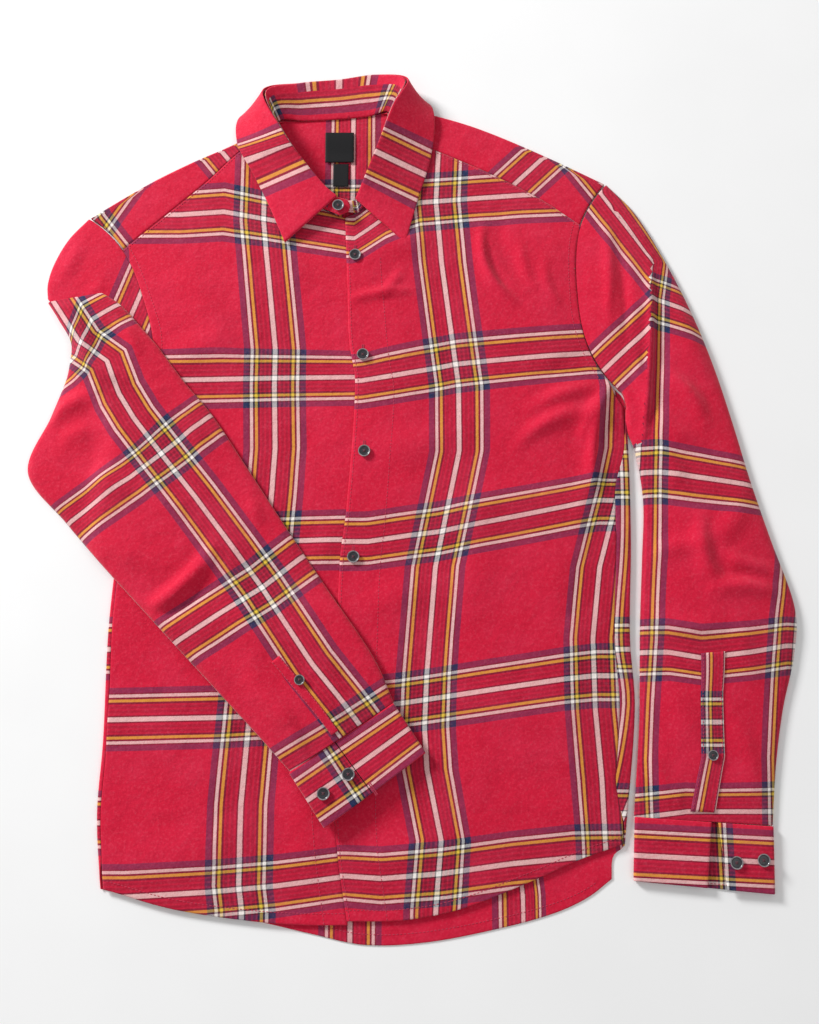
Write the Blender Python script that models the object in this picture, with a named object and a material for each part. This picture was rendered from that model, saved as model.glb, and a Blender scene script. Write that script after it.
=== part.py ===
"""A plaid flannel shirt laid flat, front up, with its right sleeve folded across the front.

Left and right are the wearer's. Tables are in millimetres in the layout's own measure:
x runs across towards the wearer's left, y runs up towards the collar, z is the height
above the surface that the shirt lies on.
"""
import math

import bpy
from mathutils import Vector

MM = 0.001
CENTRE = (-2.7, 30.9)           # middle of the laid-out shirt, which becomes the origin

# Cloth
WALL = 1.2                      # one layer of flannel
STIFF_WALL = 1.5                # collar, with its stiffening
CUFF_WALL = 1.8
LABEL_WALL = 1.0
LABEL_GAP = 0.8                 # a label is sewn along its top only, and lies loosely
SEAM = 0.6                      # gap between two pieces that are sewn together
CURVED_SEAM = 1.1               # half of that gap where the line of the seam is a curve
REST_GAP = 0.35                 # gap between a piece and the layer that it lies on

# Heights of the middle of each layer
LOWER = 0.5 * WALL              # the layer that lies on the surface
UPPER = 3.4                     # the layer above it
TURN = 0.5 * (UPPER - LOWER)    # radius of a fold from one layer to the other
FRONT_STEP = 1.6                # how far the left front lies above the right one
FRONT_PUFF = 2.2                # air under the middle of the left front
NECK_RISE = 1.9                 # the yoke's back rides over the collar that is folded under it
SLEEVE_LIFT = 5.4               # how far the folded sleeve climbs onto the body
BUTTON_LIFT = 3.6               # and further over the front buttons that it covers

# Turn of the back panel round each side, to the side seam
LEFT_SIDE_TURN = 14.0
RIGHT_SIDE_TURN = 4.0
LEAST_TURN = 3.4                # at the hem and at the underarm

BUTTON_RADIUS = 5.6
BUTTON_HEIGHT = 2.4
SMALL_BUTTON_RADIUS = 4.6
BUTTON_SIDES = 14

SIDE_MEET = 0.68                # share of a panel's outer edge that is its side seam

FLANNEL = ("red_plaid_flannel", (0.62, 0.03, 0.08), 0.9)
LABEL_CLOTH = ("black_label_satin", (0.02, 0.02, 0.022), 0.6)
BUTTON_RESIN = ("dark_button_resin", (0.05, 0.05, 0.055), 0.3)


def table(columns, *rows):
    names = columns.split()
    return [dict(zip(names, row)) for row in rows]


# ---------------------------------------------------------------- outlines

BACK_HEM = table(
    "x y",
    (-259, -325), (-200, -340), (-131, -351), (-80, -362), (-34, -371),
    (20, -369), (82, -358), (128, -346), (156, -333), (170, -318))

RIGHT_FRONT_HEM = table(
    "x y",
    (-260, -328), (-200, -342), (-131, -352), (-86, -355), (-54, -355))

LEFT_FRONT_HEM = table(
    "x y",
    (-52, -352), (-5, -351), (43, -342), (102, -320), (144, -302), (170, -291))

# Outermost line of the body on each side, from the hem to the underarm
RIGHT_SIDE = table(
    "x y",
    (-261, -326), (-267, -264), (-265, -204), (-265, -98), (-257, 0), (-246, 70), (-241, 104))

LEFT_SIDE = table(
    "x y",
    (183, -290), (196, -175), (194, -114), (198, -30), (199, 40), (198, 98))

# Edge of the left front, which lies on top, from the hem to the neck
LEFT_FRONT_EDGE = table(
    "x y",
    (-52, -352), (-62, -287), (-64, -225), (-64, -150), (-61, -44), (-56, 0), (-49, 119),
    (-55, 160), (-57, 210), (-60, 283))

# Edge of the right front, which runs under it and lies beside it at the hem
RIGHT_FRONT_EDGE = table(
    "x y",
    (-53, -355), (-63, -287), (-65, -225), (-42, -150), (-28, -44), (-25, 0),
    (-20, 119), (-26, 210), (-32, 279))

# Front seams of the yoke, from the armhole to the neck
RIGHT_YOKE_SEAM = table("x y", (-264, 250), (-195, 319), (-163, 352), (-131, 376))
LEFT_YOKE_SEAM = table("x y", (159, 281), (124, 303), (75, 330), (21, 355), (-14, 371))

# Folds over the shoulders, from the shoulder point to the neck
RIGHT_SHOULDER = table("x y", (-303, 283), (-248, 319), (-210, 340), (-163, 363), (-126, 387))
LEFT_SHOULDER = table("x y", (187, 318), (125, 350), (68, 376), (26, 390), (-12, 399))

# Back seam of the yoke between the two armholes
YOKE_BACK_SEAM = table("x y", (-262, 243), (-180, 276), (-60, 293), (60, 292), (156, 268))

# An armhole is a bow between the shoulder point and the underarm. front_seam and back_seam
# are the shares of it where the yoke's two seams meet it.
RIGHT_ARMHOLE = {"shoulder": (-303, 283), "underarm": (-243, 107), "bow": 26.5,
                 "front_seam": 0.22, "back_seam": 0.28}
LEFT_ARMHOLE = {"shoulder": (187, 318), "underarm": (200, 104), "bow": -38.0,
                "front_seam": 0.19, "back_seam": 0.24}
BOW_POWER = 2.8

# Shares across a sleeve where its sections have points, and how high each stands on the top
RING_SHARES = (0.012, 0.05, 0.15, 0.32, 0.5, 0.68, 0.85, 0.95, 0.988)
RING_HEIGHTS = (0.86, 1.0, 1.0, 1.0, 1.0, 1.0, 1.0, 1.0, 0.86)

# Sleeve sections from the armhole to the cuff. Each runs from the outer edge to the inner one,
# bowed towards the body, and puffs up by its rise.
LEFT_SLEEVE = table(
    "outer_x outer_y inner_x inner_y bow rise",
    (187, 318, 201, 106, -38, 0),
    (214, 287, 206, 104, -25, 4),
    (241, 237, 210, 100, -13, 6),
    (263, 186, 212, 94, -5, 6),
    (280, 136, 213, 84, 0, 6),
    (294, 84, 213, 52, 0, 6),
    (307, 30, 211, 8, 0, 6),
    (322, -24, 208, -42, 0, 7),
    (340, -86, 204, -98, 0, 7),
    (337, -128, 202, -140, 0, 5),
    (324, -176, 200, -184, 0, 4),
    (315, -224, 196, -228, 0, 3),
    (309, -274, 192, -267, 0, 1.5))

# The right sleeve in two stretches: from the armhole to the fold, and across the body
RIGHT_SLEEVE_UPPER = table(
    "outer_x outer_y inner_x inner_y bow rise",
    (-303, 283, -244, 108, 26.5, 0),
    (-321, 262, -249, 107, 17, 0.4),
    (-333, 238, -255, 106, 9, 0.6),
    (-338, 218, -265, 112, 3, 0.6),
    (-337, 202, -277, 122, 0, 0.4))

RIGHT_SLEEVE_LOWER = table(
    "outer_x outer_y inner_x inner_y bow rise",
    (-329, 190, -287, 203, 0, 1),
    (-318, 176, -268, 192, 0, 3),
    (-311, 156, -248, 172, 0, 4),
    (-314, 128, -234, 156, 0, 5),
    (-327, 88, -224, 143, 0, 6),
    (-345, 36, -206, 119, 0, 6),
    (-308, -10, -180, 88, 0, 6),
    (-268, -54, -149, 42, 0, 6),
    (-220, -104, -112, -14, 0, 5),
    (-172, -154, -74, -70, 0, 5),
    (-127, -201, -33, -130, 0, 4),
    (-101, -229, -14, -171, 0, 2))

# Left edge of what lies under the folded sleeve, by height on the body
UNDER_SLEEVE_EDGE = table(
    "y x",
    (-300, -266), (-98, -265), (0, -257), (70, -250), (105, -258), (118, -272),
    (140, -292), (165, -312), (200, -340))
CLIMB = 26.0                    # the sleeve climbs over that edge within this width
BUTTON_ZONE = (-60.0, -100.0)   # heights on the body where the sleeve rises over the buttons

# Cuffs: corners of the flattened band, and the two ends of the slit on its upper side
LEFT_CUFF = {"seam_outer": (310, -276), "seam_inner": (192, -268),
             "hem_outer": (308, -330), "hem_inner": (189, -319),
             "slit_seam": (0.40, 0.45), "slit_hem": (0.34, 0.48), "low": 0.5 * CUFF_WALL}
RIGHT_CUFF = {"seam_outer": (-102, -231), "seam_inner": (-13, -172),
              "hem_outer": (-72, -276), "hem_inner": (14, -213),
              "slit_seam": (0.435, 0.442), "slit_hem": (0.465, 0.472), "low": 9.7}
CUFF_TURN = 1.9

# Strips sewn over the sleeve slits: shares along the sleeve and across it
LEFT_PLACKET = table(
    "along from_outer to_outer",
    (0.735, 0.62, 0.467), (0.80, 0.60, 0.45), (0.90, 0.555, 0.385), (0.985, 0.605, 0.425))
RIGHT_PLACKET = table(
    "along from_outer to_outer",
    (0.845, 0.40, 0.47), (0.90, 0.41, 0.475), (0.985, 0.435, 0.50))

# Collar sections, from the right front round the back to the left front. The stand runs from
# the neck seam to most of the way to the roll, the leaf from there over the roll to its edge.
COLLAR = table(
    "neck_x neck_y neck_z roll_x roll_y roll_z edge_x edge_y edge_z droop",
    (-66, 284, 10.6, -68, 301, 13.4, -117, 257, 7.6, 0.9),
    (-92, 299, 8.0, -81, 313, 14.6, -133, 295, 6.6, 0.9),
    (-114, 326, 6.2, -101, 338, 17, -149, 328, 6.0, 1.1),
    (-131, 357, 6.8, -119, 363, 23, -165, 360, 7.4, 1.1),
    (-126, 384, 7.4, -139, 408, 18, -161, 391, 1.1, 1.5),
    (-100, 386, 4.4, -106, 422, 9, -116, 381, 0.8, 3.0),
    (-68, 388, 4.4, -68, 427, 7, -68, 383, 0.8, 4.0),
    (-40, 391, 4.4, -32, 431, 9, -28, 389, 0.8, 3.0),
    (-20, 394, 7.0, -3, 421, 18, 13, 404, 1.1, 1.5),
    (-13, 374, 7.2, -16, 391, 23, 24, 386, 7.4, 1.1),
    (-18, 347, 6.2, -29, 357, 17, 20, 343, 6.0, 1.1),
    (-34, 308, 6.6, -43, 320, 14, 8, 301, 6.4, 1.1),
    (-49, 288, 7.0, -51, 300, 9.4, -4, 257, 7.2, 1.0))
ROLL_GAP = 2.1                  # between the stand and the leaf, middle to middle, at the roll
RIGHT_TAB = (-55, 286, 10.8, -57, 300, 11.4)     # end of the stand that lies on top
LEFT_TAB = (-72, 288, 6.6, -73, 299, 7.0)        # end of the stand that lies under it

NECK_LABEL = {"x": (-81, -53), "y": (341, 372)}
SIZE_LABEL = {"x": (-73, -58), "y": (316, 340)}

FRONT_BUTTONS = table(
    "x y", (-51, 245), (-43, 147), (-41, 55), (-50, -42), (-52, -133), (-54, -223))


# ---------------------------------------------------------------- lines and surfaces

def smooth_path(points, steps=10):
    """Return a function that gives the point at a share of a smooth line's length."""
    points = [Vector(p) for p in points]
    last = len(points) - 1
    gaps = [(points[i + 1] - points[i]).length for i in range(last)]

    def slope(i):
        if i == 0 or i == last:
            return None
        return (points[i + 1] - points[i - 1]) / (gaps[i - 1] + gaps[i])

    line = []
    for i in range(last):
        start, end, gap = points[i], points[i + 1], gaps[i]
        chord = (end - start) / gap
        leave = slope(i) or chord
        arrive = slope(i + 1) or chord
        for k in range(steps):
            t = k / steps
            line.append(start * (2 * t**3 - 3 * t**2 + 1) + leave * gap * (t**3 - 2 * t**2 + t)
                        + end * (3 * t**2 - 2 * t**3) + arrive * gap * (t**3 - t**2))
    line.append(points[-1])
    run = [0.0]
    for a, b in zip(line, line[1:]):
        run.append(run[-1] + (b - a).length)

    def at(share):
        goal = min(max(share, 0.0), 1.0) * run[-1]
        i = next(k for k in range(1, len(run)) if run[k] >= goal or k == len(run) - 1)
        part = (goal - run[i - 1]) / (run[i] - run[i - 1])
        return line[i - 1].lerp(line[i], part)

    return at


def outline(rows):
    return smooth_path([(row["x"], row["y"]) for row in rows])


def fine(rows, count=40):
    """The same outline as rows that are close enough together to be joined by straight lines."""
    line = outline(rows)
    return [{"x": p.x, "y": p.y} for p in (line(t) for t in shares(count))]


def by_height(rows):
    """Return a function that gives x at a height y, from rows in rising order of y."""
    def at(y):
        if y <= rows[0]["y"]:
            return rows[0]["x"]
        for low, high in zip(rows, rows[1:]):
            if y <= high["y"]:
                part = (y - low["y"]) / (high["y"] - low["y"])
                return low["x"] + part * (high["x"] - low["x"])
        return rows[-1]["x"]
    return at


def joined(first, second, meet):
    """Follow one line up to the share meet, then another."""
    return lambda t: first(t / meet) if t < meet else second((t - meet) / (1 - meet))


def patch(bottom, top, left, right, s, t):
    """Point of the surface spanned by four edges; s runs across, t runs up."""
    across = bottom(s) * (1 - t) + top(s) * t
    up = left(t) * (1 - s) + right(t) * s
    corners = ((bottom(0) * (1 - s) + bottom(1) * s) * (1 - t)
               + (top(0) * (1 - s) + top(1) * s) * t)
    return across + up - corners


def ease(value):
    value = min(max(value, 0.0), 1.0)
    return value * value * (3 - 2 * value)


def shares(count, start=0.0, end=1.0):
    return [start + (end - start) * i / (count - 1) for i in range(count)]


def armhole(hole, share):
    shoulder, underarm = Vector(hole["shoulder"]), Vector(hole["underarm"])
    run = underarm - shoulder
    side = Vector((-run.y, run.x)).normalized()
    return shoulder + run * share + side * hole["bow"] * (1 - abs(2 * share - 1)**BOW_POWER)


# ---------------------------------------------------------------- solids from grids of points

def surface_normals(grid, around):
    rows, columns = len(grid), len(grid[0])
    normals = []
    for i in range(rows):
        line = []
        for j in range(columns):
            up = grid[min(i + 1, rows - 1)][j] - grid[max(i - 1, 0)][j]
            if around:
                across = grid[i][(j + 1) % columns] - grid[i][j - 1]
            else:
                across = grid[i][min(j + 1, columns - 1)] - grid[i][max(j - 1, 0)]
            line.append(across.cross(up).normalized())
        normals.append(line)
    return normals


def add_material(mesh, finish):
    name, colour, roughness = finish
    material = bpy.data.materials.get(name)
    if material is None:
        material = bpy.data.materials.new(name)
        material.use_nodes = True
        shader = material.node_tree.nodes["Principled BSDF"]
        shader.inputs["Base Color"].default_value = (*colour, 1.0)
        shader.inputs["Roughness"].default_value = roughness
        shader.inputs["Metallic"].default_value = 0.0
    mesh.materials.append(material)


def make_object(name, points, faces, finish, smooth_angle=50):
    centre = Vector((*CENTRE, 0.0))
    mesh = bpy.data.meshes.new(name)
    mesh.from_pydata([(p - centre) * MM for p in points], [], faces)
    mesh.validate()
    mesh.shade_smooth()
    mesh.set_sharp_from_angle(angle=math.radians(smooth_angle))
    add_material(mesh, finish)
    obj = bpy.data.objects.new(name, mesh)
    bpy.context.scene.collection.objects.link(obj)
    return obj


def cloth(name, grid, wall=WALL, around=False, finish=FLANNEL):
    """Give a grid of points a wall. Its rows run along the cloth, its columns across or around.

    The upper side is the one that across x along points to.
    """
    normals = surface_normals(grid, around)
    rows, columns = len(grid), len(grid[0])
    points = []
    for side in (0.5, -0.5):
        for i in range(rows):
            for j in range(columns):
                points.append(grid[i][j] + normals[i][j] * wall * side)
    under = rows * columns

    def upper(i, j):
        return i * columns + j % columns

    faces = []
    for i in range(rows - 1):
        for j in range(columns if around else columns - 1):
            a, b, c, d = upper(i, j), upper(i, j + 1), upper(i + 1, j + 1), upper(i + 1, j)
            faces.append((a, b, c, d))
            faces.append((d + under, c + under, b + under, a + under))
    for j in range(columns if around else columns - 1):
        a, b = upper(0, j), upper(0, j + 1)
        faces.append((a + under, b + under, b, a))
        a, b = upper(rows - 1, j), upper(rows - 1, j + 1)
        faces.append((a, b, b + under, a + under))
    if not around:
        for i in range(rows - 1):
            a, b = upper(i, 0), upper(i + 1, 0)
            faces.append((a, b, b + under, a + under))
            a, b = upper(i, columns - 1), upper(i + 1, columns - 1)
            faces.append((a + under, b + under, b, a))
    return make_object(name, points, faces, finish)


# ---------------------------------------------------------------- body

def front_height(x, y):
    """Middle of the left front: over the right one at the buttons, puffed at the chest."""
    edge = LEFT_EDGE_AT(y)
    over = FRONT_STEP * (1 - ease((x - edge - 42) / 40)) * ease((y + 285) / 60)
    over *= ease((330 - y) / 40)
    side = ease((LEFT_SIDE_AT(y) - x - 18) / 50)
    puff = FRONT_PUFF * ease((x - edge - 60) / 70) * side * ease((y + 330) / 80)
    return UPPER + over + puff * ease((300 - y) / 60) + neck_lift(x, y)


def right_front_height(x, y):
    return UPPER + neck_lift(x, y)


LEFT_EDGE_AT = by_height(LEFT_FRONT_EDGE)
LEFT_SIDE_AT = by_height(fine(LEFT_SIDE))
RIGHT_SIDE_AT = by_height(fine(RIGHT_SIDE))
# where the back turns over: past both ends of a side it opens out and lies flat
LEFT_FOLD_AT = by_height([{"x": 207, "y": -316}] + fine(LEFT_SIDE) + [{"x": 225, "y": 140}])
RIGHT_FOLD_AT = by_height(fine(RIGHT_SIDE) + [{"x": -278, "y": 140}])
UNDER_EDGE_AT = by_height(UNDER_SLEEVE_EDGE)


def lay(grid, height):
    return [[Vector((p.x, p.y, height(p.x, p.y))) for p in row] for row in grid]


def inset_shares(count, length):
    edge = 0.5 * SEAM / length
    return shares(count, edge, 1 - edge)


def armhole_steps(hole, seam):
    """Shares of an armhole's edge at the points where the sleeve's sections meet it."""
    end = hole[seam]
    steps = [(1 - share) / (1 - end) for share in reversed(RING_SHARES) if share > end + 0.04]
    return steps + [1.0]


def edge_shares(hole, seam, meet, count, length):
    """Shares up a panel's outer edge: evenly up its side, then at the armhole's steps."""
    side = shares(count, 0.5 * SEAM / length, meet)
    rest = [meet + (1 - meet) * step for step in armhole_steps(hole, seam)]
    rest[-1] -= CURVED_SEAM / length
    return side + rest


def make_front(name, hem, seam, outer, inner, hole, height, flip):
    """A front spans its hem and yoke seam, its side with the armhole, and its inner edge."""
    rows = edge_shares(hole, "front_seam", SIDE_MEET, 12, 620.0)
    columns = inset_shares(11, 220.0)
    left, right = (outer, inner) if not flip else (inner, outer)
    grid = [[patch(hem, seam, left, right, s, t) for s in columns] for t in rows]
    cloth(name, lay(grid, height))


def side_turn(most, y):
    """How far the back is turned over a side at a height y."""
    return LEAST_TURN + (most - LEAST_TURN) * ease((y + 280) / 50) * ease((66 - y) / 50)


def side_then_armhole(side, hole, most, inward):
    """Outer edge of a front: up its side seam, then round the armhole to the yoke."""
    seam = outline([{"x": row["x"] + inward * side_turn(most, row["y"]), "y": row["y"]}
                    for row in fine(side)])
    offset = seam(1) - armhole(hole, 1)

    def curve(t):
        share = 1 + (hole["front_seam"] - 1) * t
        return armhole(hole, share) + offset * max(0.0, 1 - 8 * t)

    return joined(seam, curve, SIDE_MEET)


def neck_points(first, last):
    return [Vector((row["neck_x"], row["neck_y"])) for row in COLLAR[first:last]]


def make_fronts():
    seam = outline(RIGHT_YOKE_SEAM)
    neck = smooth_path([outline(RIGHT_FRONT_EDGE)(1)] + neck_points(0, 4) + [seam(1)])
    inner = joined(outline(RIGHT_FRONT_EDGE), neck, 0.80)
    outer = side_then_armhole(RIGHT_SIDE, RIGHT_ARMHOLE, RIGHT_SIDE_TURN, 1)
    hem = outline([{"x": outer(0).x, "y": outer(0).y}] + RIGHT_FRONT_HEM[1:])
    start = outer(1)
    seam = smooth_path([start] + [(row["x"], row["y"]) for row in RIGHT_YOKE_SEAM[1:]])
    make_front("right_front", hem, seam, outer, inner, RIGHT_ARMHOLE, right_front_height,
               flip=False)

    corner = (LEFT_YOKE_SEAM[-1]["x"], LEFT_YOKE_SEAM[-1]["y"])
    neck = smooth_path([outline(LEFT_FRONT_EDGE)(1)] + neck_points(10, 13)[::-1] + [corner])
    inner = joined(outline(LEFT_FRONT_EDGE), neck, 0.84)
    outer = side_then_armhole(LEFT_SIDE, LEFT_ARMHOLE, LEFT_SIDE_TURN, -1)
    hem = outline(LEFT_FRONT_HEM[:-1] + [{"x": outer(0).x, "y": outer(0).y}])
    start = outer(1)
    seam = smooth_path([corner] + [(r["x"], r["y"]) for r in LEFT_YOKE_SEAM[-2:0:-1]] + [start])
    make_front("left_front", hem, seam, outer, inner, LEFT_ARMHOLE, front_height, flip=True)


def wrap_side(point):
    """Lay a flat point of the back: past a side it turns over onto the upper layer."""
    x, y = point.x, point.y
    start = LEFT_FOLD_AT(y) - TURN - 0.5 * WALL
    over = x - start
    if over <= 0:
        start = RIGHT_FOLD_AT(y) + TURN + 0.5 * WALL
        over = start - x
        if over <= 0:
            return Vector((x, y, LOWER))
        outward = -1
    else:
        outward = 1
    arc = math.pi * TURN
    if over < arc:
        angle = over / TURN
        return Vector((start + outward * TURN * math.sin(angle), y,
                       LOWER + TURN * (1 - math.cos(angle))))
    return Vector((start - outward * (over - arc), y, UPPER))


def strip_length(turn):
    """Width of the back that shows on the upper layer, from the fold's end to the side seam."""
    return turn - TURN - 0.5 * WALL - 0.5 * SEAM


def unfolded_side(side, outward, most):
    """A side seam as it lies before the back is turned over; the turn opens at both ends."""
    line = []
    for row in fine(side):
        y = row["y"]
        reach = strip_length(side_turn(most, y)) + math.pi * TURN - TURN - 0.5 * WALL
        reach *= ease((y - side[0]["y"]) / 30) * ease((side[-1]["y"] - y) / 36)
        line.append(Vector((row["x"] + outward * reach, y)))
    return line


def turn_columns(turn):
    """Distances from a side seam across the strip, round the fold and onto the lower layer."""
    strip = strip_length(turn)
    arc = math.pi * TURN
    return [0.0] + [strip + arc * k / 4 for k in range(5)] + [strip + arc + 12]


def make_back_panel():
    right = unfolded_side(RIGHT_SIDE, -1, RIGHT_SIDE_TURN)
    left = unfolded_side(LEFT_SIDE, 1, LEFT_SIDE_TURN)

    def up_armhole(hole, end_of_side, inset):
        def curve(t):
            share = 1 + (hole["back_seam"] - 1) * t
            point = armhole(hole, share) + Vector((inset, 0))
            return point + (end_of_side - point) * max(0.0, 1 - 30 * t)
        return curve

    inset = 0.5 * SEAM
    right_edge = joined(smooth_path(right), up_armhole(RIGHT_ARMHOLE, right[-1], inset),
                        SIDE_MEET)
    left_edge = joined(smooth_path([(171, -318), (173, -299)] + left),
                       up_armhole(LEFT_ARMHOLE, left[-1], -inset), SIDE_MEET)
    hem = smooth_path([right[0]] + [(row["x"], row["y"]) for row in BACK_HEM[1:-1]]
                      + [left_edge(0)])
    seam = smooth_path([right_edge(1)] + [(r["x"], r["y"]) for r in YOKE_BACK_SEAM[1:-1]]
                       + [left_edge(1)])
    grid = []
    for t in edge_shares(LEFT_ARMHOLE, "back_seam", SIDE_MEET, 13, 640.0):
        start, end = right_edge(t).x, left_edge(t).x
        from_right = turn_columns(side_turn(RIGHT_SIDE_TURN, right_edge(t).y))
        from_left = turn_columns(side_turn(LEFT_SIDE_TURN, left_edge(t).y))
        width = end - start
        middle = shares(7, from_right[-1], width - from_left[-1])[1:-1]
        line = []
        for reach in from_right + middle + [width - d for d in reversed(from_left)]:
            p = patch(hem, seam, right_edge, left_edge, reach / width, t)
            line.append(wrap_side(Vector((start + reach, p.y))))
        grid.append(line)
    cloth("back_panel", grid)


def neck_lift(x, y):
    """The back of the yoke rises where the collar leaf lies under it."""
    beside = ease((x + 155) / 20) * ease((22 - x) / 20)
    return NECK_RISE * ease((y - 348) / 22) * beside


def yoke_wing(hole, front, fold, back, along):
    """One row of the yoke over a shoulder: front seam, over the fold, down to the back seam."""
    def front_edge(t):
        return armhole(hole, hole["front_seam"] * (1 - t))

    def back_edge(t):
        return armhole(hole, hole["back_seam"] * t)

    def neck_front(t):
        return front(1).lerp(fold(1), t)

    def neck_back(t):
        return fold(1).lerp(back(1), t)

    foot, ridge, back_foot = front(along), fold(along), back(along)
    across = (patch(fold, back, back_edge, neck_back, along, 0.2) - ridge).normalized()
    round_off = TURN + 0.5 * WALL
    turn_start = ridge + across * round_off
    width = (ridge - foot).length
    row = []
    for t in shares(4, 0.5 * SEAM / width, 1.0)[:-1]:
        p = patch(front, fold, front_edge, neck_front, along, t * (1 - round_off / width))
        row.append(Vector((p.x, p.y, UPPER + neck_lift(p.x, p.y))))
    for angle in shares(5, 0.0, math.pi):
        p = turn_start - across * TURN * math.sin(angle)
        height = LOWER + TURN * (1 + math.cos(angle))
        row.append(Vector((p.x, p.y, height + neck_lift(p.x, p.y))))
    depth = (back_foot - ridge).length
    for t in shares(4, round_off / depth, 1 - 0.5 * SEAM / depth)[1:]:
        p = patch(fold, back, back_edge, neck_back, along, t)
        row.append(Vector((p.x, p.y, LOWER + neck_lift(p.x, p.y))))
    return row


def opening_fold(top, low, first_angle):
    """One row of the yoke at the side of the neck, where the fold over the shoulder opens."""
    down = (low - top).normalized()
    row = []
    for angle in shares(8, first_angle, math.pi):
        p = top + down * (TURN + 0.5 * WALL - TURN * math.sin(angle))
        row.append(Vector((p.x, p.y, LOWER + TURN * (1 + math.cos(angle)) + neck_lift(p.x, p.y))))
    for share in shares(4)[1:]:
        p = (top + down * (TURN + 0.5 * WALL)).lerp(low, share)
        row.append(Vector((p.x, p.y, LOWER + neck_lift(p.x, p.y))))
    return row


def flat_row(top, low):
    """One row of the yoke below the back of the neck, closer together near the top."""
    row = []
    for reach in shares(8, 0.0, 15.0) + shares(4, 15.0, (top - low).length)[1:]:
        p = top.lerp(low, reach / (top - low).length)
        row.append(Vector((p.x, p.y, LOWER + neck_lift(p.x, p.y))))
    return row


def make_yoke():
    ends = [armhole(RIGHT_ARMHOLE, RIGHT_ARMHOLE["back_seam"]),
            armhole(LEFT_ARMHOLE, LEFT_ARMHOLE["back_seam"])]
    seam = smooth_path([ends[0]] + [(r["x"], r["y"]) for r in YOKE_BACK_SEAM[1:-1]] + [ends[1]])
    right_share, left_share = 0.36, 0.63     # back seam shares below the sides of the neck

    def right_back(s):
        return seam(right_share * s)

    def left_back(s):
        return seam(1 - (1 - left_share) * s)

    right_front = smooth_path([armhole(RIGHT_ARMHOLE, RIGHT_ARMHOLE["front_seam"])]
                              + [(r["x"], r["y"]) for r in RIGHT_YOKE_SEAM[1:]])
    left_front = smooth_path([armhole(LEFT_ARMHOLE, LEFT_ARMHOLE["front_seam"])]
                             + [(r["x"], r["y"]) for r in LEFT_YOKE_SEAM[1:]])
    wing = shares(7, CURVED_SEAM / 190, 1.0)
    rows = [yoke_wing(RIGHT_ARMHOLE, right_front, outline(RIGHT_SHOULDER), right_back, along)
            for along in wing]
    neck = smooth_path(neck_points(4, 9))

    def ends_at(share):
        top = neck(share) - Vector((0, 0.5))
        low = seam(right_share + (left_share - right_share) * share) + Vector((0, 0.5 * SEAM))
        return top, low

    rows += [opening_fold(*ends_at(0.02), 0.0), opening_fold(*ends_at(0.06), 0.5 * math.pi)]
    rows += [flat_row(*ends_at(share)) for share in shares(6, 0.14, 0.86)]
    rows += [opening_fold(*ends_at(0.94), 0.5 * math.pi), opening_fold(*ends_at(0.98), 0.0)]
    rows += [yoke_wing(LEFT_ARMHOLE, left_front, outline(LEFT_SHOULDER), left_back, along)
             for along in reversed(wing)]
    # rows run from the right shoulder to the left one, so the columns run from front to back
    cloth("yoke", [[row[j] for row in rows] for j in range(len(rows[0]))][::-1])


# ---------------------------------------------------------------- sleeves and cuffs

def sleeve_section(rows, along):
    """Blend the table's sections at a share of the sleeve's length."""
    place = along * (len(rows) - 1)
    i = min(int(place), len(rows) - 2)
    part = place - i
    before, after = rows[max(i - 1, 0)], rows[min(i + 2, len(rows) - 1)]
    section = {}
    for key in rows[i]:
        a, b = rows[i][key], rows[i + 1][key]
        leave = (b - before[key]) / (2 if i > 0 else 1)
        arrive = (after[key] - a) / (2 if i < len(rows) - 2 else 1)
        section[key] = (a * (2 * part**3 - 3 * part**2 + 1) + b * (3 * part**2 - 2 * part**3)
                        + leave * (part**3 - 2 * part**2 + part)
                        + arrive * (part**3 - part**2))
    return section


def on_table(x, y):
    return LOWER


def over_body(x, y):
    """Middle of the folded sleeve's lower layer: it climbs onto what lies under it."""
    climb = ease((x - UNDER_EDGE_AT(y) + CLIMB + 12) / CLIMB)
    high, low = BUTTON_ZONE
    over_buttons = BUTTON_LIFT * ease((high - y) / (high - low))
    return LOWER + SLEEVE_LIFT * climb + over_buttons * ease((x + 265) / 60)


def sleeve_point(rows, along, share, support, level):
    """Point of a flattened sleeve; level runs from 0 on its lower layer to 1 on its upper one."""
    section = sleeve_section(rows, along)
    outer = Vector((section["outer_x"], section["outer_y"]))
    inner = Vector((section["inner_x"], section["inner_y"]))
    run = inner - outer
    side = Vector((-run.y, run.x)).normalized()
    p = outer + run * share + side * section["bow"] * (1 - abs(2 * share - 1)**BOW_POWER)
    low = support(p.x, p.y)
    puff = section["rise"] * math.sqrt(max(0.0, 4 * share * (1 - share)))
    return Vector((p.x, p.y, low + level * (UPPER - LOWER + puff)))


def make_sleeve(name, rows, support, count, flip):
    edge = 0.5 * SEAM / 600
    grid = []
    for along in shares(count, edge, 1 - edge):
        ring = [sleeve_point(rows, along, 0.0, support, 0.5)]
        for share, level in zip(RING_SHARES, RING_HEIGHTS):
            ring.append(sleeve_point(rows, along, share, support, level))
        ring.append(sleeve_point(rows, along, 1.0, support, 0.5))
        for share, level in zip(reversed(RING_SHARES), RING_HEIGHTS):
            ring.append(sleeve_point(rows, along, share, support, 1 - level))
        grid.append(ring[::-1] if flip else ring)
    cloth(name, grid, around=True)


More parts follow.
